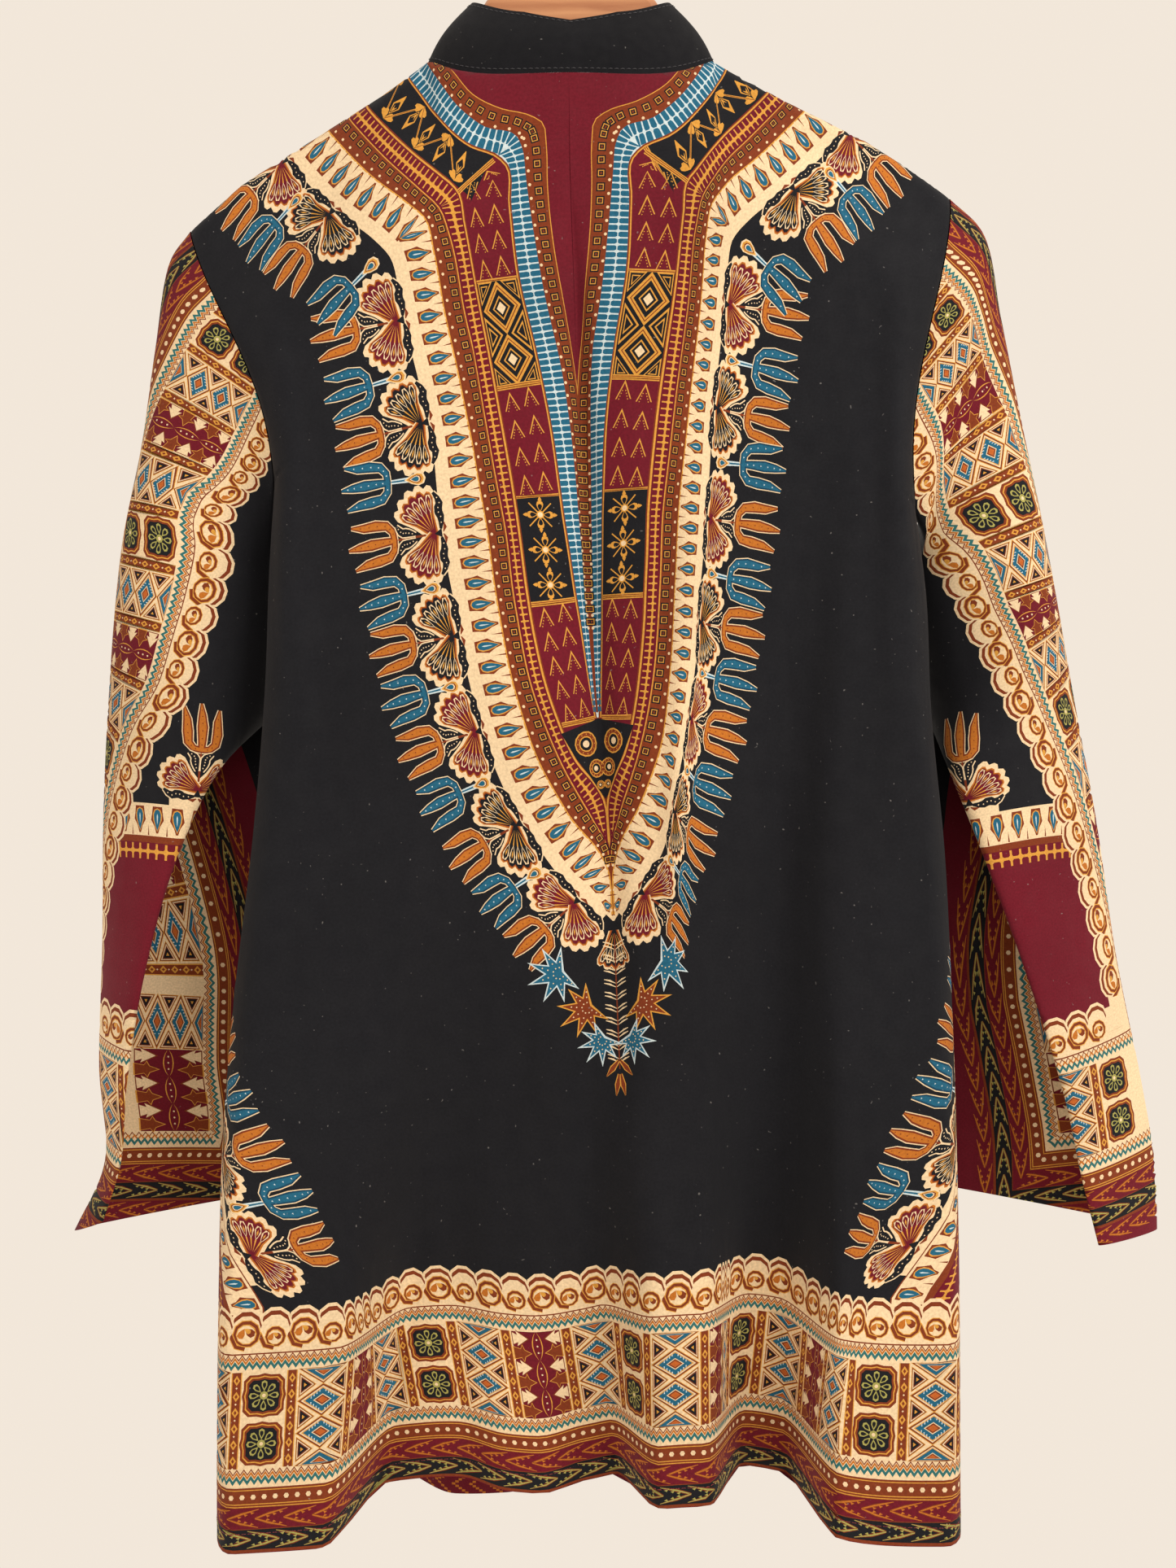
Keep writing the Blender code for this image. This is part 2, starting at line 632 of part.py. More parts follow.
def flat_curve(name, points, half_thickness, bevel):
    """A flat outline in the (x, z) plane, extruded both ways along y with rounded edges."""
    curve = bpy.data.curves.new(name, "CURVE")
    curve.dimensions = "2D"
    curve.fill_mode = "BOTH"
    curve.extrude = half_thickness - bevel
    curve.bevel_depth = bevel
    curve.bevel_resolution = 2
    curve.offset = -bevel
    spline = curve.splines.new("POLY")
    spline.points.add(len(points) - 1)
    for place, (x, z) in zip(spline.points, points):
        place.co = (x, z, 0, 1)
    spline.use_cyclic_u = True
    obj = bpy.data.objects.new(name, curve)
    obj.rotation_euler = (pi / 2, 0, 0)
    return obj


def build_hanger():
    return flat_curve("hanger", hanger_outline(), ARM_HALF_THICKNESS, ARM_BEVEL)


def hook_path():
    """The wire's centre line: a stem out of the wood, then most of a circle over the origin."""
    radius = HOOK_RADIUS + HOOK_WIRE_RADIUS
    path = [(0.0, HOOK_FOOT_Z), (0.0, HOOK_FOOT_Z + 0.006), (-0.0006, HOOK_FOOT_Z + 0.011)]
    for turn in np.linspace(1.40 * pi, -0.17 * pi, 22):
        path.append((radius * cos(turn), -HOOK_RADIUS + radius * sin(turn)))
    return path


def build_hook():
    curve = bpy.data.curves.new("hanger_hook", "CURVE")
    curve.dimensions = "3D"
    curve.bevel_depth = HOOK_WIRE_RADIUS
    curve.bevel_resolution = 2
    curve.use_fill_caps = True
    path = hook_path()
    spline = curve.splines.new("POLY")
    spline.points.add(len(path) - 1)
    for place, (x, z) in zip(spline.points, path):
        place.co = (x, 0, z, 1)
    return bpy.data.objects.new("hanger_hook", curve)


def finish(obj):
    """Gives a piece its own material."""
    look = FINISHES[obj.name]
    material = bpy.data.materials.new(obj.name)
    material.use_nodes = True
    shader = material.node_tree.nodes["Principled BSDF"]
    shader.inputs["Base Color"].default_value = (*look.colour, 1)
    shader.inputs["Roughness"].default_value = look.roughness
    shader.inputs["Metallic"].default_value = look.metallic
    obj.data.materials.append(material)


def main():
    clear_scene()
    tunic = bpy.data.collections.new("dashiki_tunic_on_hanger")
    bpy.context.scene.collection.children.link(tunic)
    pieces = [
        build_back(),
        build_front(),
        build_sleeve("sleeve_left", LEFT_SLEEVE, left=True),
        build_sleeve("sleeve_right", RIGHT_SLEEVE, left=False),
        build_collar(),
        build_hanger(),
        build_hook(),
    ]
    for piece in pieces:
        tunic.objects.link(piece)
        finish(piece)


main()
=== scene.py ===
"""The looks of the dashiki tunic on its hanger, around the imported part. Metres, +Z up, the back faces -Y.

Each cut piece of cloth is one thin sheet on the form of its solid. Its print is drawn as flat shapes on
the flat cloth, in inks that are laid over each other, and the sheet is then bent to its drape.
"""

from collections import namedtuple
from math import cos, pi, radians, sin, sqrt

import bpy
import numpy as np
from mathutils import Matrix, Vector
from mathutils.bvhtree import BVHTree
from mathutils.geometry import delaunay_2d_cdt


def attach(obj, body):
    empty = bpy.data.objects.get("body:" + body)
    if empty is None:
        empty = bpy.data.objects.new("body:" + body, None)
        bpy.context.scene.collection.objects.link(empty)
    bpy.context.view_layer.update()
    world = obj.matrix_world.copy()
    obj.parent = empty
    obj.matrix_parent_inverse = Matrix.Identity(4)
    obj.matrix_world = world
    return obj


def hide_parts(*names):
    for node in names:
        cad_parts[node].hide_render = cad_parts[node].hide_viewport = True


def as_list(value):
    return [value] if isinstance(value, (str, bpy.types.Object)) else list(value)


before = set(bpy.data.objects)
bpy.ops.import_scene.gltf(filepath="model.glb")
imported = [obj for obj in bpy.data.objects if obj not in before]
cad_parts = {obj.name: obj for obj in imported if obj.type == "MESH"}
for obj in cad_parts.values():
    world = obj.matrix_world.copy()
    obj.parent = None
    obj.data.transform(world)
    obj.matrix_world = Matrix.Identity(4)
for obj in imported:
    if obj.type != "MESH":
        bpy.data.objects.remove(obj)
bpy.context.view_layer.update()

# Neck and collar
NECK_HALF_WIDTH = 0.0845
NECK_SIDE_Z = -0.1234
BACK_NECK_Y = -0.031
BACK_NECK_Z = -0.1430
FRONT_NECK_Y = 0.040
FRONT_NECK_Z = -0.1850
COLLAR_HALF_WIDTH = 0.0590
COLLAR_SIDE_Z = -0.0885
COLLAR_BACK_Y = -0.027
COLLAR_BACK_Z = -0.1065
COLLAR_FRONT_Y = 0.031
COLLAR_FRONT_Z = -0.1465
COLLAR_DIP = 0.0045
COLLAR_END_GAP = 0.0040
COLLAR_BOW = 0.0034

# Body panels
SHOULDER_ROUND = 0.0100
SHOULDER_FALL = 0.090
SIDE_ROUND = 0.018
SEAM_HALF_GAP = 0.0002
FRONT_SLIT_HALF = 0.0015
FRONT_SLIT_BOTTOM_Z = -0.405

# Armholes and sleeves
ARMHOLE_DEPTH = 0.0180
ARMHOLE_DIP = 0.0170
ARMHOLE_DIP_SLANT = 1.1
SLEEVE_SEAM_GAP = 0.0003
SLEEVE_SLIT_TOP = 0.43
ARMHOLE_SHAPE_ENDS = 0.26

# The shoulder seams, from the left tip to the right tip: the left shoulder hangs lower.
ShoulderPoint = namedtuple("ShoulderPoint", "x z")
SHOULDERS = [
    ShoulderPoint(-0.2235, -0.2218),
    ShoulderPoint(-0.1928, -0.1945),
    ShoulderPoint(-0.1448, -0.1642),
    ShoulderPoint(-0.1100, -0.1420),
    ShoulderPoint(-NECK_HALF_WIDTH, NECK_SIDE_Z),
    ShoulderPoint(NECK_HALF_WIDTH, NECK_SIDE_Z),
    ShoulderPoint(0.1240, -0.1450),
    ShoulderPoint(0.1720, -0.1690),
    ShoulderPoint(0.1960, -0.1840),
    ShoulderPoint(0.2224, -0.2026),
]

# The underarm points, where the armholes end and the side seams start
Underarm = namedtuple("Underarm", "x z")
LEFT_UNDERARM = Underarm(-0.1740, -0.3715)
RIGHT_UNDERARM = Underarm(0.2020, -0.3880)

# The side seams. down is the fraction of the way from the underarm to the hem.
SideSeam = namedtuple("SideSeam", "down left_x right_x y")
SIDE_SEAMS = [
    SideSeam(0.00, -0.1740, 0.2020, 0.000),
    SideSeam(0.08, -0.1775, 0.2085, 0.001),
    SideSeam(0.20, -0.1805, 0.2120, 0.002),
    SideSeam(0.34, -0.1880, 0.2205, 0.004),
    SideSeam(0.50, -0.2000, 0.2255, 0.007),
    SideSeam(0.65, -0.2072, 0.2286, 0.009),
    SideSeam(0.82, -0.2090, 0.2305, 0.011),
    SideSeam(1.00, -0.2070, 0.2290, 0.012),
]

# The hem heights across the back and the front
HemPoint = namedtuple("HemPoint", "across back_z front_z")
HEM = [
    HemPoint(0.00, -0.9800, -0.9800),
    HemPoint(0.15, -0.9760, -0.9850),
    HemPoint(0.30, -0.9690, -0.9950),
    HemPoint(0.45, -0.9740, -0.9920),
    HemPoint(0.60, -0.9620, -0.9850),
    HemPoint(0.72, -0.9620, -0.9800),
    HemPoint(0.85, -0.9740, -0.9800),
    HemPoint(1.00, -0.9760, -0.9760),
]

# How far each panel stands from the plane of the side seams, before its folds
PanelDepth = namedtuple("PanelDepth", "z back front")
PANEL_DEPTHS = [
    PanelDepth(-0.15, 0.026, 0.027),
    PanelDepth(-0.35, 0.025, 0.026),
    PanelDepth(-0.50, 0.021, 0.028),
    PanelDepth(-0.70, 0.008, 0.034),
    PanelDepth(-0.85, -0.006, 0.042),
    PanelDepth(-1.00, -0.017, 0.048),
]

# Folds. rise is towards the outside of the panel, half the half width of the crown, flank what follows it.
FoldSection = namedtuple("FoldSection", "z x rise half flank")
BACK_FOLDS = {
    "left drape": [
        FoldSection(-0.38, -0.115, 0.002, 0.020, 0.060),
        FoldSection(-0.60, -0.142, 0.014, 0.024, 0.056),
        FoldSection(-0.78, -0.158, 0.038, 0.032, 0.040),
        FoldSection(-1.00, -0.173, 0.074, 0.032, 0.026),
    ],
    "axis crease": [
        FoldSection(-0.20, -0.002, 0.000, 0.000, 0.030),
        FoldSection(-0.34, 0.006, -0.006, 0.000, 0.034),
        FoldSection(-0.52, 0.018, -0.009, 0.000, 0.036),
        FoldSection(-0.68, 0.026, -0.003, 0.000, 0.040),
        FoldSection(-0.76, 0.030, 0.000, 0.000, 0.040),
    ],
    "middle drape": [
        FoldSection(-0.30, 0.062, 0.000, 0.010, 0.045),
        FoldSection(-0.55, 0.060, 0.007, 0.012, 0.045),
        FoldSection(-0.75, 0.060, 0.022, 0.012, 0.040),
        FoldSection(-1.00, 0.066, 0.058, 0.013, 0.025),
    ],
    "right drape": [
        FoldSection(-0.38, 0.165, 0.003, 0.020, 0.040),
        FoldSection(-0.60, 0.182, 0.014, 0.024, 0.040),
        FoldSection(-0.78, 0.186, 0.038, 0.030, 0.034),
        FoldSection(-1.00, 0.186, 0.072, 0.036, 0.020),
    ],
    "small ripple": [
        FoldSection(-0.72, -0.040, 0.000, 0.008, 0.030),
        FoldSection(-0.85, -0.034, 0.006, 0.008, 0.030),
        FoldSection(-1.00, -0.028, 0.012, 0.010, 0.028),
    ],
    "axis pinch": [
        FoldSection(-0.20, -0.002, 0.0000, 0.000, 0.008),
        FoldSection(-0.28, 0.004, -0.0056, 0.000, 0.009),
        FoldSection(-0.50, 0.017, -0.0068, 0.000, 0.010),
        FoldSection(-0.66, 0.027, -0.0044, 0.000, 0.012),
        FoldSection(-0.76, 0.033, 0.0000, 0.000, 0.014),
    ],
    "shoulder blade crease": [
        FoldSection(-0.34, 0.071, 0.0000, 0.000, 0.010),
        FoldSection(-0.40, 0.068, 0.0040, 0.001, 0.012),
        FoldSection(-0.58, 0.062, 0.0058, 0.001, 0.013),
        FoldSection(-0.70, 0.060, 0.0000, 0.001, 0.016),
    ],
    "right valley": [
        FoldSection(-0.30, 0.142, 0.0000, 0.003, 0.022),
        FoldSection(-0.42, 0.138, -0.0050, 0.003, 0.020),
        FoldSection(-0.62, 0.125, -0.0066, 0.004, 0.018),
        FoldSection(-0.80, 0.128, -0.0010, 0.004, 0.024),
        FoldSection(-0.88, 0.132, 0.0000, 0.004, 0.024),
    ],
    "left ripple": [
        FoldSection(-0.42, -0.078, 0.0000, 0.004, 0.024),
        FoldSection(-0.56, -0.083, 0.0040, 0.005, 0.020),
        FoldSection(-0.74, -0.092, 0.0058, 0.006, 0.018),
        FoldSection(-0.86, -0.098, 0.0000, 0.006, 0.022),
    ],
    "waist ripple": [
        FoldSection(-0.62, -0.016, 0.0000, 0.002, 0.012),
        FoldSection(-0.70, -0.012, 0.0024, 0.003, 0.014),
        FoldSection(-0.80, -0.004, 0.0030, 0.003, 0.014),
        FoldSection(-0.92, 0.004, 0.0000, 0.004, 0.018),
    ],
    "left armhole crease": [
        FoldSection(-0.24, -0.176, 0.0000, 0.001, 0.012),
        FoldSection(-0.33, -0.166, 0.0024, 0.001, 0.013),
        FoldSection(-0.46, -0.160, 0.0030, 0.002, 0.015),
        FoldSection(-0.60, -0.158, 0.0000, 0.002, 0.018),
    ],
    "right armhole crease": [
        FoldSection(-0.22, 0.182, 0.0000, 0.001, 0.012),
        FoldSection(-0.30, 0.186, 0.0026, 0.001, 0.013),
        FoldSection(-0.44, 0.188, 0.0034, 0.002, 0.015),
        FoldSection(-0.60, 0.192, 0.0000, 0.002, 0.018),
    ],
}
FRONT_FOLDS = {
    "left drape": [
        FoldSection(-0.40, -0.120, 0.002, 0.020, 0.050),
        FoldSection(-0.75, -0.130, 0.014, 0.022, 0.045),
        FoldSection(-1.00, -0.135, 0.022, 0.022, 0.040),
    ],
    "middle drape": [
        FoldSection(-0.45, 0.030, 0.000, 0.012, 0.040),
        FoldSection(-0.75, 0.020, 0.010, 0.012, 0.040),
        FoldSection(-1.00, 0.010, 0.016, 0.014, 0.038),
    ],
    "right drape": [
        FoldSection(-0.40, 0.130, 0.002, 0.020, 0.050),
        FoldSection(-0.75, 0.145, 0.012, 0.022, 0.045),
        FoldSection(-1.00, 0.150, 0.024, 0.022, 0.040),
    ],
    "centre crease": [
        FoldSection(-0.42, 0.004, 0.0000, 0.001, 0.014),
        FoldSection(-0.55, 0.010, -0.0036, 0.002, 0.016),
        FoldSection(-0.72, 0.018, 0.0000, 0.002, 0.018),
    ],
    "left chest crease": [
        FoldSection(-0.24, -0.168, 0.0000, 0.001, 0.013),
        FoldSection(-0.36, -0.158, 0.0030, 0.002, 0.015),
        FoldSection(-0.58, -0.150, 0.0000, 0.002, 0.020),
    ],
    "right chest crease": [
        FoldSection(-0.26, 0.160, 0.0000, 0.001, 0.013),
        FoldSection(-0.40, 0.150, 0.0034, 0.002, 0.016),
        FoldSection(-0.66, 0.140, 0.0000, 0.002, 0.022),
    ],
    "waist ripple": [
        FoldSection(-0.56, -0.060, 0.0000, 0.004, 0.020),
        FoldSection(-0.74, -0.054, 0.0036, 0.004, 0.020),
        FoldSection(-0.90, -0.048, 0.0000, 0.005, 0.022),
    ],
}

# Sleeve sections, from the armhole to the cuff, as in the part: near_ is the edge beside the body and
# the back, outer_ the outside fold, far_ the edge beside the front.
SleeveSection = namedtuple(
    "SleeveSection",
    "down near_x near_y near_z outer_x outer_y outer_z far_x far_y far_z near_bulge far_bulge",
)
LEFT_SLEEVE = [
    SleeveSection(0.00, -0.1743, 0.000, -0.3715, -0.2238, 0.000, -0.2218,
                  -0.1743, 0.000, -0.3715, 0.018, 0.018),
    SleeveSection(0.07, -0.1765, 0.012, -0.3880, -0.2370, 0.003, -0.2400,
                  -0.1765, 0.012, -0.3880, 0.022, 0.021),
    SleeveSection(0.16, -0.1775, 0.028, -0.4150, -0.2465, 0.008, -0.2900,
                  -0.1775, 0.028, -0.4150, 0.029, 0.022),
    SleeveSection(0.26, -0.1765, 0.038, -0.4480, -0.2560, 0.014, -0.3450,
                  -0.1765, 0.038, -0.4480, 0.036, 0.026),
    SleeveSection(0.36, -0.1775, 0.044, -0.4800, -0.2690, 0.019, -0.4030,
                  -0.1775, 0.044, -0.4800, 0.040, 0.029),
    SleeveSection(0.43, -0.1810, 0.044, -0.5000, -0.2745, 0.022, -0.4450,
                  -0.1810, 0.044, -0.5000, 0.041, 0.031),
    SleeveSection(0.50, -0.2050, 0.008, -0.5340, -0.2800, 0.025, -0.4950,
                  -0.1900, 0.050, -0.5380, 0.022, 0.018),
    SleeveSection(0.60, -0.2290, -0.002, -0.5850, -0.2845, 0.028, -0.5600,
                  -0.1900, 0.060, -0.5850, 0.012, 0.010),
    SleeveSection(0.72, -0.2490, -0.004, -0.6550, -0.2860, 0.030, -0.6400,
                  -0.1910, 0.064, -0.6550, 0.008, 0.006),
    SleeveSection(0.84, -0.2610, -0.002, -0.7250, -0.2880, 0.030, -0.7200,
                  -0.1910, 0.067, -0.7220, 0.006, 0.005),
    SleeveSection(0.94, -0.2660, 0.000, -0.7750, -0.2850, 0.028, -0.7820,
                  -0.1915, 0.068, -0.7740, 0.005, 0.006),
    SleeveSection(1.00, -0.2750, -0.002, -0.8050, -0.3010, 0.024, -0.8180,
                  -0.1920, 0.068, -0.8080, 0.004, 0.006),
]
RIGHT_SLEEVE = [
    SleeveSection(0.00, 0.2023, 0.000, -0.3880, 0.2227, 0.000, -0.2026,
                  0.2023, 0.000, -0.3880, 0.018, 0.018),
    SleeveSection(0.07, 0.2100, 0.010, -0.4020, 0.2430, 0.003, -0.2220,
                  0.2100, 0.010, -0.4020, 0.022, 0.021),
    SleeveSection(0.16, 0.2070, 0.027, -0.4260, 0.2545, 0.008, -0.2700,
                  0.2070, 0.027, -0.4260, 0.028, 0.023),
    SleeveSection(0.26, 0.2080, 0.037, -0.4560, 0.2680, 0.014, -0.3300,
                  0.2080, 0.037, -0.4560, 0.035, 0.027),
    SleeveSection(0.36, 0.2135, 0.039, -0.4870, 0.2830, 0.019, -0.3950,
                  0.2135, 0.039, -0.4870, 0.038, 0.030),
    SleeveSection(0.43, 0.2180, 0.036, -0.5050, 0.2930, 0.022, -0.4450,
                  0.2180, 0.036, -0.5050, 0.039, 0.031),
    SleeveSection(0.50, 0.2235, 0.006, -0.5380, 0.3045, 0.025, -0.4980,
                  0.2120, 0.048, -0.5400, 0.022, 0.020),
    SleeveSection(0.60, 0.2410, -0.004, -0.5880, 0.3180, 0.027, -0.5650,
                  0.2080, 0.059, -0.5850, 0.012, 0.010),
    SleeveSection(0.72, 0.2660, -0.006, -0.6580, 0.3310, 0.028, -0.6500,
                  0.2070, 0.064, -0.6520, 0.008, 0.006),
    SleeveSection(0.84, 0.2890, -0.004, -0.7300, 0.3470, 0.027, -0.7320,
                  0.2070, 0.067, -0.7180, 0.006, 0.005),
    SleeveSection(0.94, 0.3010, -0.002, -0.7830, 0.3540, 0.024, -0.7840,
                  0.2080, 0.068, -0.7680, 0.005, 0.006),
    SleeveSection(1.00, 0.3100, -0.002, -0.8189, 0.3540, 0.022, -0.8165,
                  0.2090, 0.068, -0.7990, 0.004, 0.006),
]

# The flat back and front: the print's axis slants down to the right, and its rows start as steep as that.
AXIS_TOP_X = -0.0004
AXIS_SLANT = 0.0508
PRINT_LENGTH = 0.835

# Sampling of the sheets
LOOKUP_COLUMNS = 240
LOOKUP_ROWS = 420
SHEET_COLUMNS = 64
SHEET_ROWS = 78
SLEEVE_LOOKUP_COLUMNS = 260
SLEEVE_LOOKUP_ROWS = 300
SLEEVE_SHEET_COLUMNS = 60
SLEEVE_SHEET_ROWS = 84
SLEEVE_EASE = 0.2
COLLAR_COLUMNS = 160
COLLAR_ROWS = 14

# How the print's axis sways from its slanted line, and the cloth that the deep creases hide, in millimetres
SwaySection = namedtuple("SwaySection", "down shift")
AXIS_SWAY = [
    SwaySection(0, 0.5),
    SwaySection(30, 2.0),
    SwaySection(100, 4.3),
    SwaySection(240, 5.3),
    SwaySection(340, 4.0),
    SwaySection(420, 0.0),
    SwaySection(600, 0.0),
]
TuckSection = namedtuple("TuckSection", "down start width hidden")
RIGHT_TUCKS = {
    "middle": [
        TuckSection(0, 60, 40, 0),
        TuckSection(60, 60, 40, 12),
        TuckSection(100, 55, 45, 20),
        TuckSection(240, 45, 50, 24),
        TuckSection(340, 45, 40, 27),
        TuckSection(420, 38, 26, 33),
        TuckSection(490, 36, 22, 25),
        TuckSection(600, 50, 20, 27),
        TuckSection(700, 60, 14, 49),
        TuckSection(774, 60, 13, 45),
        TuckSection(840, 61, 12, 42),
    ],
    "right drape": [
        TuckSection(560, 150, 40, 0),
        TuckSection(700, 146, 40, 38),
        TuckSection(774, 146, 40, 24),
        TuckSection(840, 145, 40, 5),
    ],
}
LEFT_TUCKS = {
    "left drape": [
        TuckSection(560, 170, 34, 0),
        TuckSection(700, 174, 32, 36),
        TuckSection(745, 174, 32, 20),
        TuckSection(840, 175, 31, -18),
    ],
}

# The print, in millimetres on the flat cloth. The plastron is the pointed panel below the neck, its lines
# run from the shoulder to the axis, and its other half mirrors them.
EDGE_STEP = 5.0
PLASTRON_TOP = -60.0
PLASTRON_LINES = {
    "neck": [(80, -25), (68, -8), (57, 6), (39, 17), (22, 22.5), (15, 27), (12.8, 40), (12.5, 61), (10.5, 97),
             (6, 135), (2.5, 158), (0.5, 172), (0.5, 316)],
    "brown": [(96, -25), (84, -10), (63.5, 15), (48, 27), (30, 33.5), (26.5, 42), (25.3, 54), (22.3, 85),
              (18, 125), (11.5, 165), (7.4, 209), (5.6, 240), (3.6, 280), (1.6, 322), (0.6, 366)],
    "comb": [(118, -30), (101, -8), (78, 19), (58, 35.5), (40, 44), (35.3, 49), (34, 72), (31.8, 114),
             (25, 156), (18.7, 201), (15.5, 238), (11.5, 278), (5.3, 331), (0.5, 369)],
    "column": [(160, -27), (134, 5), (100, 36.5), (76, 57), (68.5, 64), (66, 82), (61, 125), (54.5, 167),
               (48.5, 209), (44, 245), (40.5, 287), (36.8, 322), (27.5, 367), (18.5, 392), (1.5, 418),
               (0.2, 444)],
    "ladder": [(176, -26), (148, 8), (120, 36), (93, 61.5), (81.5, 73.5), (77, 88), (71, 134), (63.5, 176),
               (56.2, 222), (51, 255), (46.5, 305), (38.3, 357), (27.5, 391), (10, 428), (1, 446),
               (0.2, 458)],
    "squares": [(187, -12), (156, 21), (127, 48.5), (102, 69), (91.5, 79), (88, 97), (84, 133), (76.5, 175),
                (69.5, 217), (63.5, 253), (57.5, 305), (49.3, 357), (40.2, 391.5), (25, 423), (1.5, 460),
                (0.2, 488)],
    "drops": [(220, -8), (204, 5), (172, 39), (143, 66), (121, 84), (110, 97), (105.5, 120), (103, 140),
              (97.5, 167), (90.5, 200), (87.3, 240), (84.5, 270), (80, 300), (74.5, 340), (65, 383),
              (51.5, 418), (33, 448), (9, 480), (0, 491)],
}
PANEL_TOPS = [(118, -30), (42, 45), (35, 113), (28, 176), (17.5, 238), (13, 302), (2, 369)]
PANEL_KINDS = ["triangles", "peaks", "lattice", "peaks", "flowers", "peaks"]
WAISTS = [(203, 41), (157, 75), (121, 139), (111.3, 199.5), (101, 262), (88.5, 323), (78, 377.5), (56.8, 430),
          (27, 479)]
WAIST_OUT = 12.0
GARLAND_PITCH = 60.0
COMB_PITCH = 3.9
SQUARE_PITCH = 7.6
DROP_PITCH = 12.0
PEAK_PITCH = 15.6
FAN_LOBES = 5
FAN_HALF_ANGLE = 0.56
FAN_LEAN = 1.06
PRONGS = (
    ((0, 0.0, 2.6), (0, 7.0, 3.8), (0.3, 16.0, 5.2), (0.9, 24.0, 3.4), (1.6, 31.0, 0.3)),
    ((0, 1.0, 2.8), (5.5, 1.6, 3.4), (9.5, 5.0, 4.2), (10.6, 12.0, 4.9), (11.6, 20.0, 3.8),
     (14.0, 28.0, 0.3)),
    ((0, 1.0, 2.8), (-5.5, 1.6, 3.4), (-9.5, 5.0, 4.2), (-10.6, 12.0, 4.9), (-10.4, 20.0, 3.8),
     (-11.6, 28.0, 0.3)),
)
BOTTOM_FAN = (22.0, 497.0)
Star = namedtuple("Star", "out down lean size ink line")
STARS = [
    Star(34, 518, 70, 17, "blue", "pale"),
    Star(18, 541, 62, 16, "brown", "gold"),
    Star(10, 562, 42, 13, "blue", "pale"),
]
STEM = (499.0, 580.0)

# The border: depths are from its scalloped edge, and the blocks stand between two of them
BORDER_TOP = 700.0
BORDER_DEPTH = 133.0
BLOCK_ROWS = (36.0, 89.0)
ZigzagRow = namedtuple("ZigzagRow", "middle ink wide")
ZIGZAG_ROWS = [
    ZigzagRow(28.0, "brown", 0.5),
    ZigzagRow(29.8, "amber", 0.8),
    ZigzagRow(32.4, "teal", 1.2),
    ZigzagRow(91.0, "brown", 0.5),
    ZigzagRow(92.8, "amber", 0.8),
    ZigzagRow(95.4, "teal", 1.2),
]
PlainRow = namedtuple("PlainRow", "low high ink")
TOP_ROW = PlainRow(6.0, BORDER_DEPTH, "cream")
VINE_LINE = PlainRow(25.6, 26.4, "brown")
LOW_ROWS = [
    PlainRow(99.5, 110.5, "brown"),
    PlainRow(100.6, 101.1, "gold"),
    PlainRow(108.2, 108.7, "gold"),
    PlainRow(109.6, 110.1, "gold"),
    PlainRow(110.5, 122.0, "burgundy"),
    PlainRow(121.7, 122.2, "brown"),
    PlainRow(122.2, BORDER_DEPTH, "black"),
    PlainRow(BORDER_DEPTH, BORDER_DEPTH + 1.6, "brown"),
    PlainRow(BORDER_DEPTH + 1.6, BORDER_DEPTH + 34.0, "burgundy"),
]
DOT_ROW = 104.6
DOT_PITCH = 6.2
DOT_RADIUS = 1.5
ChevronRow = namedtuple("ChevronRow", "middle low high way ink shade")
CHEVRON_ROWS = [
    ChevronRow(116, 110.5, 122.0, -1, "amber", "brown"),
    ChevronRow(127, 122.2, BORDER_DEPTH, 1, "olive", "brown"),
    ChevronRow(140, BORDER_DEPTH + 1.6, BORDER_DEPTH + 13.0, -1, "amber", "brown"),
]
STRIP_LENGTH = 6.9
FLOWER_LENGTH = 24.0
CROSS_LENGTH = 28.0
TOOTH_LENGTH = 30.0
HEM_REACH = 377.0
HEM_FIRST_BLOCK = -421.9
VINE_PITCH = 16.2
ZIGZAG_PITCH = 4.0
CHEVRON_PITCH = 16.0
MEDALLION_OUT = 340.0
MEDALLION_WIDE = 60.0
MEDALLION_TALL = 195.0

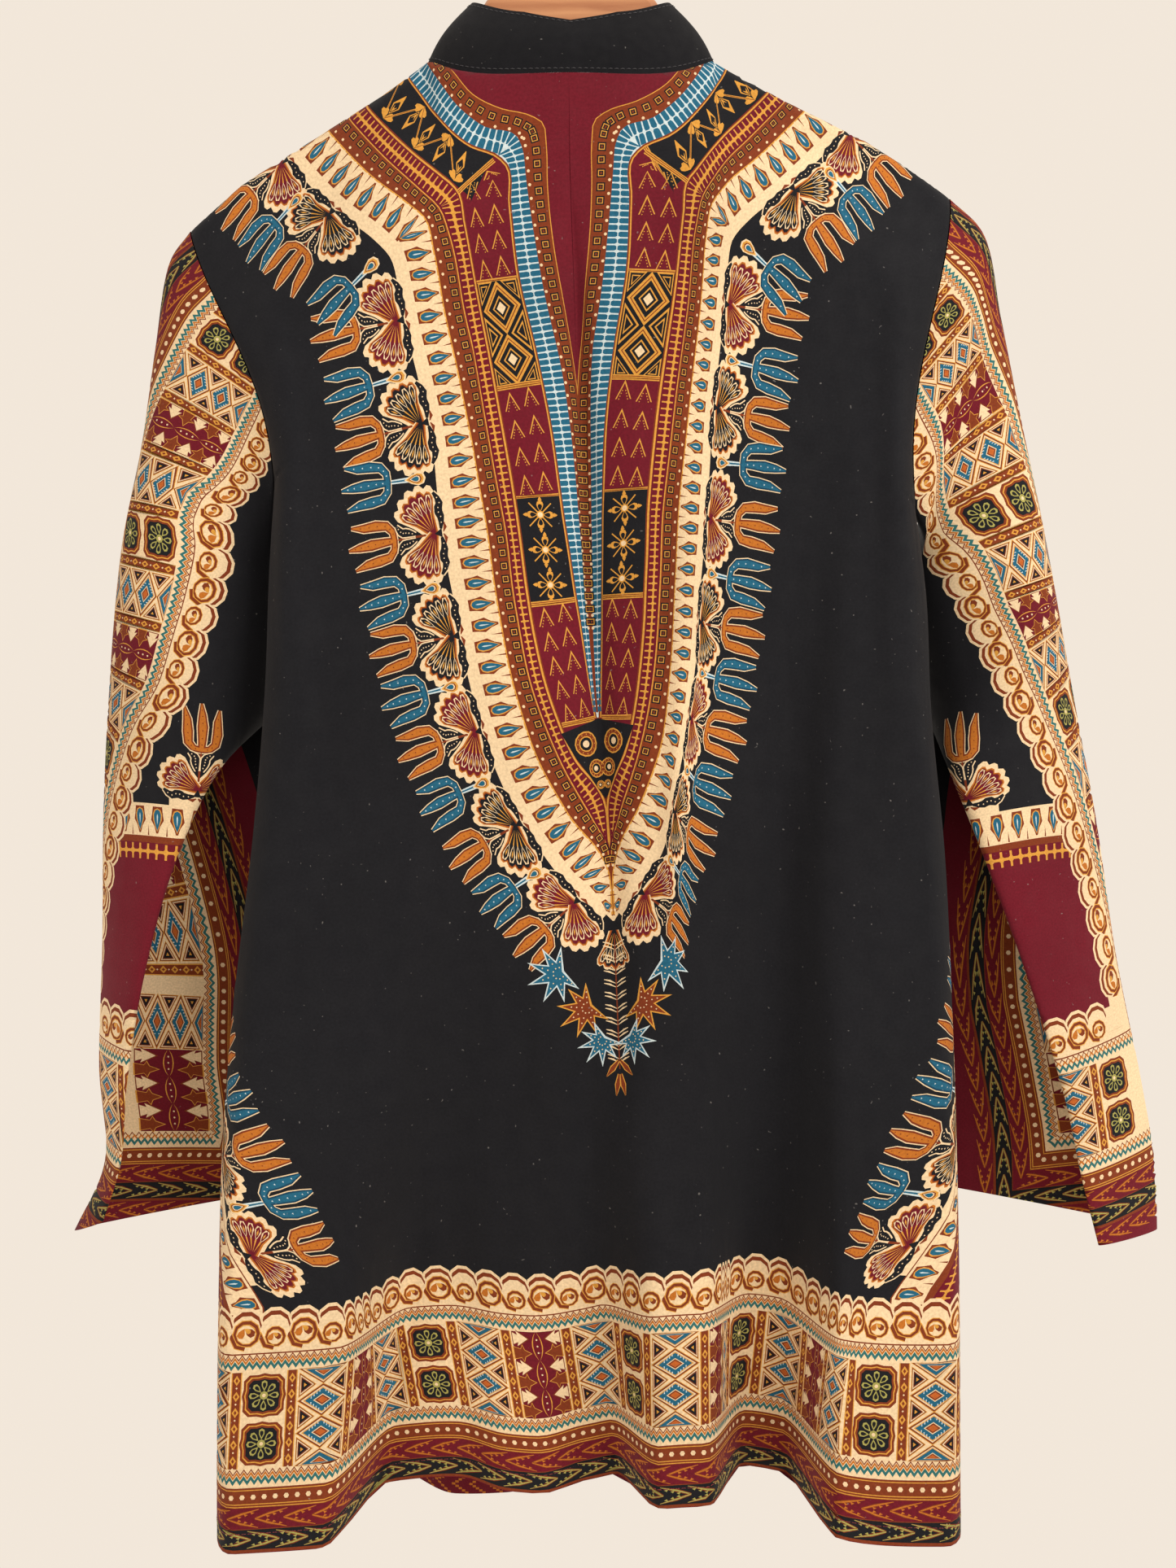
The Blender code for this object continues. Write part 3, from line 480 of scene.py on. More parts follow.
# The sleeves' print: the inner edge of the border down the outside, and where the medallion's top lies
# rows are (how far down the cloth, how far along the print, how steeply the print's rows slant there)
SleevePrint = namedtuple(
    "SleevePrint", "border rows long_wide cuff_wide dome_u dome_down long_first cuff_first"
)
DOME_START = -135.0
CUFF_REACH = 130.0
SLEEVE_PRINTS = {
    "left": SleevePrint(
        [(-160, -10), (-150, 30), (-137, 66), (-127, 90), (-117, 112), (-106, 133), (-92, 149), (-80, 160),
         (-78, 170), (-83, 187), (-85, 205), (-83, 240), (-75, 269), (-54, 304), (-38, 340), (-26, 374),
         (-15, 412), (-9, 438), (-8, 448), (-8, 458)],
        [(-10, 0, 28), (107.5, 170, 25), (129, 204.9, 20.5), (149.5, 241.8, 16), (170.5, 276.8, 6),
         (203.2, 307.7, 6), (237.5, 342.6, 6.6), (276, 379.4, 13), (314.5, 414.3, 26), (342.5, 445.2, 24),
         (375.4, 480.1, 19), (410.9, 517, 16), (446, 553, 2), (458, 565, 0)],
        [(133, 1.0), (165, 0.80), (430, 0.78), (620, 0.84)], 0.95, -75.0, 369.0, 5.0, -102.7,
    ),
    "right": SleevePrint(
        [(-105, 38), (-105, 60), (-105, 88), (-105, 115), (-106, 140), (-107, 161), (-107, 180), (-98, 200),
         (-91, 210), (-86, 226), (-84, 239), (-80, 262), (-75, 283), (-62, 313), (-48, 348), (-38, 384),
         (-31, 420), (-26, 452), (-25, 471), (-25, 483)],
        [(38, 0, 40), (122.6, 145, 38), (142, 179.9, 33.7), (164.7, 216.8, 22.8), (186, 251.8, 15.9),
         (209, 282.7, 9.3), (239.5, 317.6, 6), (275, 354.4, 17), (309, 389.3, 23), (340, 420.2, 21),
         (376, 455.1, 16), (415, 492, 12), (452, 526, 6), (473, 544, 0), (483, 553.6, 0)],
        [(125, 0.92), (166, 0.98), (185, 0.98), (215, 0.86), (245, 0.78), (400, 0.78), (560, 0.96)],
        0.95, -91.0, 391.0, -20.0, -9.0,
    ),
}

# The camera at the photograph's place
CAMERA_PLACE = (0.010, -0.85, -0.5475)
CAMERA_HALF_HEIGHT = 0.5441
SENSOR = 36.0

# The studio
BACKGROUND = (0.89, 0.80, 0.70)
WORLD_STRENGTH = 1.0
FLOOR_SIZE = 1.4
FLOOR_Z = -1.6
FLOOR_ROUGHNESS = 0.9
LIGHT_AIM = (0.0, 0.0, -0.55)
Lamp = namedtuple("Lamp", "name place size power colour")
LAMPS = [
    Lamp("key", (1.3, -1.3, 0.5), (1.0, 1.0), 26.0, (1.0, 0.97, 0.92)),
    Lamp("fill", (-1.5, -1.5, -0.2), (1.4, 1.4), 4.0, (0.96, 0.98, 1.0)),
    Lamp("back", (0.2, 1.6, 0.4), (1.6, 1.2), 8.0, (1.0, 0.98, 0.95)),
]

# Inks and other colours, in linear light
INKS = {
    "black": (0.0100, 0.0102, 0.0130),
    "burgundy": (0.145, 0.008, 0.018),
    "brown": (0.205, 0.038, 0.011),
    "gold": (0.66, 0.31, 0.050),
    "amber": (0.50, 0.155, 0.020),
    "cream": (0.82, 0.62, 0.38),
    "blue": (0.016, 0.120, 0.205),
    "deep": (0.008, 0.055, 0.105),
    "pale": (0.58, 0.68, 0.70),
    "orange": (0.50, 0.12, 0.022),
    "teal": (0.032, 0.150, 0.150),
    "olive": (0.36, 0.33, 0.09),
}
COLLAR_DYE = (0.0052, 0.0052, 0.0068)
LINT = (0.42, 0.40, 0.38)
DARK_THREAD = (0.045, 0.044, 0.050)
RED_THREAD = (0.26, 0.030, 0.040)
WOOD_PALE = (0.62, 0.28, 0.12)
WOOD_DARK = (0.40, 0.14, 0.05)
WIRE_DULL = (0.58, 0.58, 0.60)
WIRE_BRIGHT = (0.74, 0.74, 0.75)

# The cloth's surface: how strongly it shines, and how many threads cross its longer side
SPECULAR = 0.14
SHEEN = 0.04
THREADS = 430.0

# Stitches, and the hems that are turned up inside. Places across and up are fractions of a piece.
STITCH_LENGTH = 0.0026
STITCH_GAP = 0.0009
STITCH_RADIUS = 0.00032
STITCH_SIDES = 6
STITCH_START = 0.002
StitchSection = namedtuple("StitchSection", "thickness lift")
STITCH_SECTIONS = [
    StitchSection(0.45, -0.0001),
    StitchSection(1.00, 0.0003),
    StitchSection(0.45, -0.0001),
]
COLLAR_STITCH_UPS = (0.07, 0.95)
HEM_STITCH_SHARE = 0.8
HEM_STITCH_ENDS = (0.006, 0.994)
HEM_STITCH_POINTS = 400
HEM_TURN = 0.021
HEM_LIFT = 0.0012
HEM_STRIP_ENDS = (0.004, 0.996)
HEM_STRIP_EDGE = 1.9995
HEM_STRIP_COLUMNS = 640
HEM_STRIP_ROWS = 10
HEM_CHEVRON_PITCH = 16
HEM_CHEVRON_WIDTH = 3
SLOPE_STEP = 0.004
BACK_OUT = -1

# The cut of what shows: (width, length) and area of the back, the front, the left and the right sleeve
CUTS = [
    ((0.725, 0.858), 0.41),
    ((0.585, 0.858), 0.385),
    ((0.281, 0.602), 0.115),
    ((0.280, 0.628), 0.127),
]


def through(keys, values, at):
    """Reads a smooth curve through a table's values at one key, or at an array of keys."""
    keys = np.asarray(keys, float)
    values = np.asarray(values, float)
    at = np.clip(np.asarray(at, float), keys[0], keys[-1])
    slopes = np.gradient(values, keys)
    low = np.clip(np.searchsorted(keys, at, side="right") - 1, 0, len(keys) - 2)
    span = keys[low + 1] - keys[low]
    t = (at - keys[low]) / span
    start = values[low] * (1 + 2 * t) * (1 - t) ** 2 + slopes[low] * span * t * (1 - t) ** 2
    end = values[low + 1] * t * t * (3 - 2 * t) - slopes[low + 1] * span * t * t * (1 - t)
    return start + end


def column(rows, name):
    return [getattr(row, name) for row in rows]


def smooth_step(t):
    t = np.clip(t, 0.0, 1.0)
    return t * t * (3 - 2 * t)


def quarter_round(t):
    """Rises as a quarter of an ellipse from 0 at t = 0 to 1 at t = 1, and stays there."""
    t = np.clip(t, 0.0, 1.0)
    return np.sqrt(1 - (1 - t) ** 2)


def neck_edge(x, back):
    """(y, z) of the neck edge at x, on the back or on the front panel."""
    reach = np.minimum(np.abs(x) / NECK_HALF_WIDTH, 1.0)
    if back:
        y = BACK_NECK_Y * np.sqrt(1 - reach**2)
        z = BACK_NECK_Z + (NECK_SIDE_Z - BACK_NECK_Z) * reach**4
    else:
        y = FRONT_NECK_Y * np.sqrt(1 - reach**2)
        z = FRONT_NECK_Z + (NECK_SIDE_Z - FRONT_NECK_Z) * reach**2.5
    return y, z


def side_edge(left, edge):
    """(x, y, depth, z) down a panel's side: edge is 0 at the shoulder, 1 at the underarm, 2 at the hem."""
    low = LEFT_UNDERARM if left else RIGHT_UNDERARM
    tip = SHOULDERS[0] if left else SHOULDERS[-1]
    hem_z = HEM[0].back_z if left else HEM[-1].back_z
    inward = 1 if left else -1
    turn = pi * (1 - np.clip(edge, 0, 1))
    up = (1 - np.cos(turn)) / 2
    dip = ARMHOLE_DIP * np.sin(pi * up) * (1 - ARMHOLE_DIP_SLANT * up)
    down = np.clip(edge - 1, 0, 1)
    downs = column(SIDE_SEAMS, "down")
    seam_x = through(downs, column(SIDE_SEAMS, "left_x" if left else "right_x"), down)
    seam_y = through(downs, column(SIDE_SEAMS, "y"), down)
    on_armhole = edge <= 1
    x = np.where(on_armhole, low.x + (tip.x - low.x) * up + inward * dip, seam_x)
    y = np.where(on_armhole, 0.0, seam_y)
    depth = np.where(on_armhole, np.maximum(ARMHOLE_DEPTH * np.sin(turn), SEAM_HALF_GAP), SEAM_HALF_GAP)
    z = np.where(on_armhole, low.z + (tip.z - low.z) * up, low.z + (hem_z - low.z) * down)
    return x, y, depth, z


def fold_rise(folds, x, z):
    """The sum of the folds at places on a panel."""
    total = np.zeros_like(x)
    for sections in folds.values():
        keys = [-section.z for section in sections]
        centre = through(keys, column(sections, "x"), -z)
        rise = through(keys, column(sections, "rise"), -z)
        half = through(keys, column(sections, "half"), -z)
        flank = through(keys, column(sections, "flank"), -z)
        total = total + rise * smooth_step((half + flank - np.abs(x - centre)) / flank)
    return total


def panel_surface(back, across, edge):
    """The points of the back's or the front's outer face, as an array of (x, y, z)."""
    outside = -1 if back else 1
    left_x, left_y, left_depth, left_z = side_edge(True, edge)
    right_x, _, right_depth, right_z = side_edge(False, edge)
    left_down = (SHOULDERS[0].z - left_z) / (SHOULDERS[0].z - HEM[0].back_z)
    right_down = (SHOULDERS[-1].z - right_z) / (SHOULDERS[-1].z - HEM[-1].back_z)
    top_x = SHOULDERS[0].x + (SHOULDERS[-1].x - SHOULDERS[0].x) * across
    neck_y, neck_z = neck_edge(top_x, back)
    on_neck = np.abs(top_x) < NECK_HALF_WIDTH
    shoulder_z = np.interp(top_x, column(SHOULDERS, "x"), column(SHOULDERS, "z"))
    top_z = np.where(on_neck, neck_z, shoulder_z)
    top_depth = np.where(on_neck, np.abs(neck_y), 0.0)
    hem_z = through(column(HEM, "across"), column(HEM, "back_z" if back else "front_z"), across)
    down = left_down + (right_down - left_down) * across
    x = left_x + (right_x - left_x) * across
    z = top_z + (hem_z - top_z) * down
    keys = [-row.z for row in PANEL_DEPTHS]
    full = through(keys, column(PANEL_DEPTHS, "back" if back else "front"), -z)
    full = full + fold_rise(BACK_FOLDS if back else FRONT_FOLDS, x, z)
    drop = top_z - z
    neck_share = top_depth / abs(BACK_NECK_Y if back else FRONT_NECK_Y)
    lip = (1 - neck_share) * SHOULDER_ROUND
    rest = full - top_depth - lip
    depth = top_depth + lip * quarter_round(drop / SHOULDER_ROUND) + rest * smooth_step(drop / SHOULDER_FALL)
    from_left = x - left_x
    from_right = right_x - x
    edge_depth = np.where(from_left < from_right, left_depth, right_depth)
    inward = quarter_round(np.minimum(from_left, from_right) / SIDE_ROUND)
    y = left_y + outside * (edge_depth + (depth - edge_depth) * inward)
    return np.stack([x, y, z], axis=-1)


def sleeve_surface(sections, left, down, turn):
    """The points of a sleeve. turn runs from 0 at the near edge over pi at the outside fold to 2 pi."""
    downs = column(sections, "down")
    inward = 1 if left else -1
    value = {name: through(downs, column(sections, name), down) for name in SleeveSection._fields[1:]}
    near = np.stack([value["near_x"], value["near_y"], value["near_z"]], axis=-1)
    outer = np.stack([value["outer_x"], value["outer_y"], value["outer_z"]], axis=-1)
    far = np.stack([value["far_x"], value["far_y"], value["far_z"]], axis=-1)
    closed = (down <= SLEEVE_SLIT_TOP)[..., None]
    far = np.where(closed, near, far)
    up = (1 - np.cos(turn)) / 2
    near_half = turn <= pi
    start = np.where(near_half[..., None], near, far)
    bulge = np.where(near_half, value["near_bulge"], value["far_bulge"])
    point = start + (outer - start) * up[..., None]
    armhole_share = 1 - smooth_step(down / ARMHOLE_SHAPE_ENDS)
    dip = ARMHOLE_DIP * np.sin(pi * up) * (1 - ARMHOLE_DIP_SLANT * up)
    point[..., 0] += inward * (dip * armhole_share - SLEEVE_SEAM_GAP)
    point[..., 1] -= bulge * np.sin(turn)
    return point


def collar_surface(turn, up):
    """The points of the collar's outer face. turn is 0 at the centre front, pi at the centre back."""
    behind = np.cos(turn) < 0
    side = np.abs(np.sin(turn))
    low_x = NECK_HALF_WIDTH * np.sin(turn)
    back_low_y, back_low_z = neck_edge(low_x, True)
    front_low_y, front_low_z = neck_edge(low_x, False)
    low_y = np.where(behind, back_low_y, front_low_y)
    low_z = np.where(behind, back_low_z, front_low_z)
    high_x = COLLAR_HALF_WIDTH * np.sin(turn)
    high_y = np.where(behind, -COLLAR_BACK_Y, COLLAR_FRONT_Y) * np.cos(turn)
    high_middle_z = np.where(behind, COLLAR_BACK_Z, COLLAR_FRONT_Z)
    high_z = high_middle_z + (COLLAR_SIDE_Z - high_middle_z) * side**3
    high_z = high_z - np.where(behind, COLLAR_DIP * np.maximum(0.0, 1 - side / 0.45), 0.0)
    bow = COLLAR_BOW * np.sin(pi * up)
    x = low_x + (high_x - low_x) * up + bow * np.sin(turn)
    y = low_y + (high_y - low_y) * up + bow * np.cos(turn)
    z = low_z + (high_z - low_z) * up
    return np.stack([x, y, z], axis=-1)


class Cloth:
    """A cut piece: its bent surface over a fine grid, with the place of each grid point on the flat cloth."""

    def __init__(self, name, surface, flat, columns, rows):
        self.name = name
        self.surface = surface
        self.columns = columns
        self.points = surface(columns[None, :] + 0 * rows[:, None], rows[:, None] + 0 * columns[None, :])
        self.places = flat(self.points, columns)
        self.normals = grid_normals(self.points)

    def lookup(self):
        """A tree over the flat cloth, and the grid corners of each of its triangles."""
        rows, columns = self.places.shape[:2]
        index = np.arange(rows * columns).reshape(rows, columns)
        a = index[:-1, :-1].ravel()
        b = index[:-1, 1:].ravel()
        c = index[1:, 1:].ravel()
        d = index[1:, :-1].ravel()
        triangles = np.concatenate([np.stack([a, b, c], 1), np.stack([a, c, d], 1)])
        flat = self.places.reshape(-1, 2)
        flat_3d = [(u, v, 0.0) for u, v in flat]
        return BVHTree.FromPolygons(flat_3d, triangles.tolist()), triangles

    def bend(self, places):
        """The bent points and normals of places on the flat cloth."""
        tree, triangles = self.lookup()
        faces = np.empty(len(places), int)
        for number, (u, v) in enumerate(places):
            faces[number] = tree.find_nearest((u, v, 0.0))[2]
        corners = triangles[faces]
        flat = self.places.reshape(-1, 2)
        a, b, c = (flat[corners[:, k]] for k in range(3))
        p = np.asarray(places)
        double = twice_area(b - a, c - a)
        share_b = twice_area(p - a, c - a) / double
        share_c = twice_area(b - a, p - a) / double
        shares = np.stack([1 - share_b - share_c, share_b, share_c], axis=1)
        shares = np.clip(shares, 0, 1)
        shares /= shares.sum(1, keepdims=True)
        points = (self.points.reshape(-1, 3)[corners] * shares[..., None]).sum(1)
        normals = (self.normals.reshape(-1, 3)[corners] * shares[..., None]).sum(1)
        normals /= np.linalg.norm(normals, axis=1, keepdims=True)
        return points, normals


def twice_area(one, other):
    """Twice the signed areas of the triangles between pairs of flat vectors."""
    return one[:, 0] * other[:, 1] - other[:, 0] * one[:, 1]


def grid_normals(points):
    across = np.gradient(points, axis=1)
    down = np.gradient(points, axis=0)
    normals = np.cross(down, across)
    return normals / np.maximum(np.linalg.norm(normals, axis=-1, keepdims=True), 1e-12)


def hidden_cloth(u, v):
    """How much further out each place is on the cloth than on the drape: the sway, and what creases hide."""
    down = v * 1000
    more = through(column(AXIS_SWAY, "down"), column(AXIS_SWAY, "shift"), down)
    for way, tucks in ((1, RIGHT_TUCKS), (-1, LEFT_TUCKS)):
        for sections in tucks.values():
            start, width, hidden = (
                np.interp(down, column(sections, "down"), column(sections, name))
                for name in ("start", "width", "hidden")
            )
            more = more + way * hidden * smooth_step((way * u * 1000 - start) / width)
    return more / 1000


def panel_flat(back):
    """The places of a panel's points on its flat cloth: u from the print's axis, v down from the neck."""

    def flat(points, columns):
        x = points[..., 0]
        z = points[..., 2]
        steps = np.linalg.norm(np.diff(points, axis=1), axis=-1)
        lengths = np.concatenate([np.zeros((len(x), 1)), np.cumsum(steps, axis=1)], axis=1)
        from_axis = x - AXIS_TOP_X - (BACK_NECK_Z - z) * AXIS_SLANT
        at_axis = np.array([np.interp(0.0, side, length) for side, length in zip(from_axis, lengths)])
        hem_z = through(column(HEM, "across"), column(HEM, "back_z" if back else "front_z"), columns)
        top_z = BACK_NECK_Z + AXIS_SLANT * x
        v = PRINT_LENGTH * (top_z - z) / (top_z - hem_z)
        u = lengths - at_axis[:, None]
        return np.stack([u + hidden_cloth(u, v) if back else u, v], axis=-1)

    return flat


def sleeve_flat(points, columns):
    """The places of a sleeve's points on its flat cloth: u across from the outside fold, v down along it."""
    fold = int(np.argmin(np.abs(columns - pi)))
    axis = points[-1, fold] - points[0, fold]
    axis /= np.linalg.norm(axis)
    v = ((points - points[0, fold]) * axis).sum(-1)
    steps = np.diff(points, axis=1)
    down_part = (steps * axis).sum(-1)
    across = np.sqrt(np.maximum((steps**2).sum(-1) - down_part**2, 0.0))
    lengths = np.concatenate([np.zeros((len(points), 1)), np.cumsum(across, axis=1)], axis=1)
    u = lengths - lengths[:, fold : fold + 1]
    eased = int(SLEEVE_EASE * len(points))
    for half, edge in ((slice(0, fold), 0), (slice(fold + 1, None), -1)):
        u[:eased, half] *= (u[eased, edge] / u[:eased, edge])[:, None]
    return np.stack([u, v], axis=-1)


def crowded_steps(count, share):
    """Fractions from 0 to 1, closer together at both ends."""
    plain = np.linspace(0, 1, count)
    return (1 - share) * plain + share * (1 - np.cos(pi * plain)) / 2


def panel_cloth(back):
    columns = crowded_steps(LOOKUP_COLUMNS, 0.7)
    rows = np.concatenate([np.linspace(0, 1, LOOKUP_ROWS // 3), np.linspace(1, 2, 2 * LOOKUP_ROWS // 3)[1:]])

    def surface(across, edge):
        return panel_surface(back, across, edge)

    return Cloth("back" if back else "front", surface, panel_flat(back), columns, rows)


def sleeve_cloth(left):
    columns = np.linspace(0, 2 * pi, SLEEVE_LOOKUP_COLUMNS + 1)
    rows = np.linspace(0, 1, SLEEVE_LOOKUP_ROWS)

    def surface(turn, down):
        return sleeve_surface(LEFT_SLEEVE if left else RIGHT_SLEEVE, left, down, turn)

    return Cloth("sleeve_left" if left else "sleeve_right", surface, sleeve_flat, columns, rows)


def every(count, wanted):
    """Evenly spread whole numbers from 0 to count - 1, about as many as wanted, both ends included."""
    return np.unique(np.round(np.linspace(0, count - 1, wanted)).astype(int))


def make_sheet(cloth, shapes, ground, columns, rows, outward, left_out=None):
    """Makes a cut piece as one mesh. Each of its faces takes the ink of the last shape that covers it.

    shapes are (flat points, ink) pairs in the order of printing, on a ground of one ink.
    """
    grid = cloth.places
    picked = grid[np.ix_(every(grid.shape[0], rows), every(grid.shape[1], columns))]
    outline_points = outline(picked)
    verts = [Vector(place) for place in picked[1:-1, 1:-1].reshape(-1, 2)]
    faces = []
    inks = [ground]
    for points, ink in [(outline_points, ground), *((points / 1000, ink) for points, ink in shapes)]:
        start = len(verts)
        verts.extend(Vector(point) for point in counterclockwise(points))
        faces.append(list(range(start, start + len(points))))
        inks.append(ink)
    if left_out is not None:
        start = len(verts)
        verts.extend(Vector(point) for point in counterclockwise(left_out))
        faces.append(list(range(start, start + len(left_out))))
    flat_verts, _, triangles, _, _, sources = delaunay_2d_cdt(verts, [], faces, 1, 1e-7, True)
    places = np.array(flat_verts)
    spilt = spilt_faces(verts, faces, places, triangles, sources)
    kept = []
    face_inks = []
    hole = len(shapes) + 1
    for triangle, source in zip(triangles, sources):
        if 0 not in source or hole in source:
            continue
        kept.append(triangle)
        face_inks.append(inks[max(face for face in source if face not in spilt) + 1])
    points, normals = cloth.bend(places)
    if outward < 0:
        normals = -normals
    kept = np.array(kept)
    a, b, c = (points[kept[:, k]] for k in range(3))
    facing = (np.cross(b - a, c - a) * normals[kept[:, 0]]).sum()
    if facing < 0:
        kept = kept[:, ::-1]
    used = np.unique(kept)
    renumber = np.full(len(points), -1)
    renumber[used] = np.arange(len(used))
    kept = renumber[kept]
    mesh = bpy.data.meshes.new(cloth.name + "_sheet")
    mesh.from_pydata(points[used].tolist(), [], kept.tolist())
    mesh.update()
    mesh.shade_smooth()
    mesh.normals_split_custom_set_from_vertices(normals[used].tolist())
    colours = np.repeat(np.array([INKS[ink] for ink in face_inks], float), 3, axis=0)
    colours = np.concatenate([colours, np.ones((len(colours), 1))], axis=1)
    layer = mesh.attributes.new("ink", "FLOAT_COLOR", "CORNER")
    layer.data.foreach_set("color", colours.ravel())
    low = places[used].min(0)
    size = (places[used].max(0) - low).max()
    corner_places = (places[used][kept.ravel()] - low) / size
    mesh.uv_layers.new(name="OFBake").data.foreach_set("uv", corner_places.ravel())
    obj = bpy.data.objects.new(cloth.name + "_sheet", mesh)
    bpy.context.scene.collection.objects.link(obj)
    print(obj.name, "triangles", len(kept), "flat", np.round(places[used].max(0) - low, 3))
    return obj


def counterclockwise(points):
    points = np.asarray(points)
    after = np.roll(points, -1, axis=0)
    double = (points[:, 0] * after[:, 1] - points[:, 1] * after[:, 0]).sum()
    return points if double > 0 else points[::-1]


def spilt_faces(verts, faces, places, triangles, sources):
    """The shapes that cross themselves, so that their ink would run over the rest of the cloth."""
    corners = places[np.array(triangles)]
    one = corners[:, 1] - corners[:, 0]
    other = corners[:, 2] - corners[:, 0]
    areas = np.abs(twice_area(one, other)) / 2
    covered = np.zeros(len(faces))
    for area, source in zip(areas, sources):
        for face in source:
            covered[face] += area
    spilt = set()
    for number, face in enumerate(faces[1:], 1):
        points = np.array([verts[index] for index in face])
        low, high = points.min(0), points.max(0)
        if covered[number] > 1.05 * (high - low).prod() + 1e-6:
            spilt.add(number)
    print("shapes left out", len(spilt))
    return spilt


def outline(places):
    """The points once round the edge of a grid of places."""
    return np.concatenate([places[0, :], places[1:, -1], places[-1, -2::-1], places[-2:0:-1, 0]])


def collar_sheet():
    """The collar: a plain grid on its cone, split at the centre front."""
    end_turn = COLLAR_END_GAP / 2 / NECK_HALF_WIDTH
    turns = np.linspace(end_turn, 2 * pi - end_turn, COLLAR_COLUMNS + 1)
    ups = np.linspace(0, 1, COLLAR_ROWS + 1)
    points = collar_surface(turns[None, :] + 0 * ups[:, None], ups[:, None] + 0 * turns[None, :])
    return points, turns


def grid_mesh(name, points, flipped=False):
    """A mesh object over a grid of points."""
    rows, columns = points.shape[:2]
    index = np.arange(rows * columns).reshape(rows, columns)
    quads = np.stack([index[:-1, :-1], index[:-1, 1:], index[1:, 1:], index[1:, :-1]], axis=-1).reshape(-1, 4)
    if flipped:
        quads = quads[:, ::-1]
    mesh = bpy.data.meshes.new(name)
    mesh.from_pydata(points.reshape(-1, 3).tolist(), [], quads.tolist())
    mesh.update()
    mesh.shade_smooth()
    across = np.linalg.norm(np.diff(points, axis=1), axis=-1).mean(0).cumsum()
    down = np.linalg.norm(np.diff(points, axis=0), axis=-1).mean(1).cumsum()
    u, v = np.meshgrid(np.concatenate([[0.0], across]), np.concatenate([[0.0], down]))
    places = np.stack([u, v], axis=-1).reshape(-1, 2) / across[-1]
    mesh.uv_layers.new(name="OFBake").data.foreach_set("uv", places[quads.ravel()].ravel())
    obj = bpy.data.objects.new(name, mesh)
    bpy.context.scene.collection.objects.link(obj)
    return obj


class Band:
    """A strip beside a line on the flat cloth, in millimetres: s runs along the line and w out from it."""

    def __init__(self, points, widths=1.0, outs=None, marks=None):
        self.points = np.asarray(points, float)
        steps = np.diff(self.points, axis=0)
        lengths = np.linalg.norm(steps, axis=1)
        self.marks = np.concatenate([[0.0], np.cumsum(lengths)])
        self.length = self.marks[-1]
        side = np.stack([steps[:, 1], -steps[:, 0]], axis=1) / lengths[:, None]
        before = np.concatenate([side[:1], side])
        after = np.concatenate([side, side[-1:]])
        self.outs = (before + after) / (1 + (before * after).sum(1, keepdims=True))
        self.widths = np.broadcast_to(np.asarray(widths, float), self.marks.shape)
        if outs is not None:
            self.outs = outs
        if marks is not None:
            self.marks = marks
            self.length = marks[-1]

    def spots(self, shape):
        """The flat places of (s, w) points. Both ends of the line run on straight."""
        s, w = np.asarray(shape, float).T
        inside = np.clip(s, 0, self.length)
        past = s - inside
        curves = (*self.points.T, *self.outs.T, self.widths)
        x, v, out_x, out_v, width = (np.interp(inside, self.marks, values) for values in curves)
        reach = w * width
        return np.stack([x + out_x * reach - out_v * past, v + out_v * reach + out_x * past], axis=-1)

    def foot(self, place):
        """How far along the line the point nearest to a place is."""
        return self.marks[np.argmin(np.linalg.norm(self.points - np.asarray(place), axis=1))]

    def steps(self, start, end, pitch):
        """Evenly spread marks from start to end, about a pitch apart."""
        count = max(int(round((end - start) / pitch)), 1)
        return start + (np.arange(count) + 0.5) * (end - start) / count


class Print:
    """The shapes of a piece's print in the order of printing, in millimetres on the flat cloth."""

    def __init__(self, sides=(1,)):
        self.shapes = []
        self.sides = sides

    def fill(self, points, ink):
        for side in self.sides:
            self.shapes.append((np.asarray(points, float) * (side, 1), ink))

    def layers(self, band, shape, inks):
        """Nested copies of a shape around its middle, as (scale, ink) pairs."""
        shape = np.asarray(shape, float)
        middle = shape.mean(0)
        for scale, ink in inks:
            self.fill(band.spots(middle + (shape - middle) * scale), ink)

    def dot(self, band, s, w, radius, ink, sides=6):
        self.fill(band.spots([(s, w)])[0] + ring(radius, sides), ink)

    def strip(self, band, start, end, low, high, ink, slant_start=0.0, slant_end=0.0):
        """A strip of a band. Its ends may slant, for a mitre."""
        near = along(start - low * slant_start, end + low * slant_end)
        far = along(start - high * slant_start, end + high * slant_end)
        edge = np.concatenate([
            np.stack([near, np.full(len(near), low)], axis=1),
            np.stack([far, np.full(len(far), high)], axis=1)[::-1],
        ])
        self.fill(band.spots(edge), ink)


def along(start, end):
    """Marks from start to end, close enough together for a bent edge."""
    return np.linspace(start, end, max(int((end - start) / EDGE_STEP), 1) + 1)


def smooth_line(rows):
    """A smooth line through a table's (out, down) places."""
    rows = np.asarray(rows, float)
    marks = np.concatenate([[0.0], np.cumsum(np.linalg.norm(np.diff(rows, axis=0), axis=1))])
    fine = along(0.0, marks[-1])
    return np.stack([through(marks, rows[:, 0], fine), through(marks, rows[:, 1], fine)], axis=1)


def moved(line, out):
    """A line at a distance outside another one."""
    band = Band(line)
    return band.spots(np.stack([band.marks, np.full(len(line), out)], axis=1))


def between(inner, outer):
    """The band between two lines: w is 0 on the inner one and 1 on the outer one."""
    gaps = [np.min(np.linalg.norm(outer - point, axis=1)) for point in inner]
    return Band(inner, gaps)


def level(band, s):
    """A straight band that touches a bent one at a mark, where its own s is 0."""
    root, tip = band.spots([(s, 0), (s, 40)])
    width = np.interp(s, band.marks, band.widths)
    out = (tip - root) / np.linalg.norm(tip - root)
    ahead = np.array([-out[1], out[0]])
    return Band([root, root + ahead * 100], width)


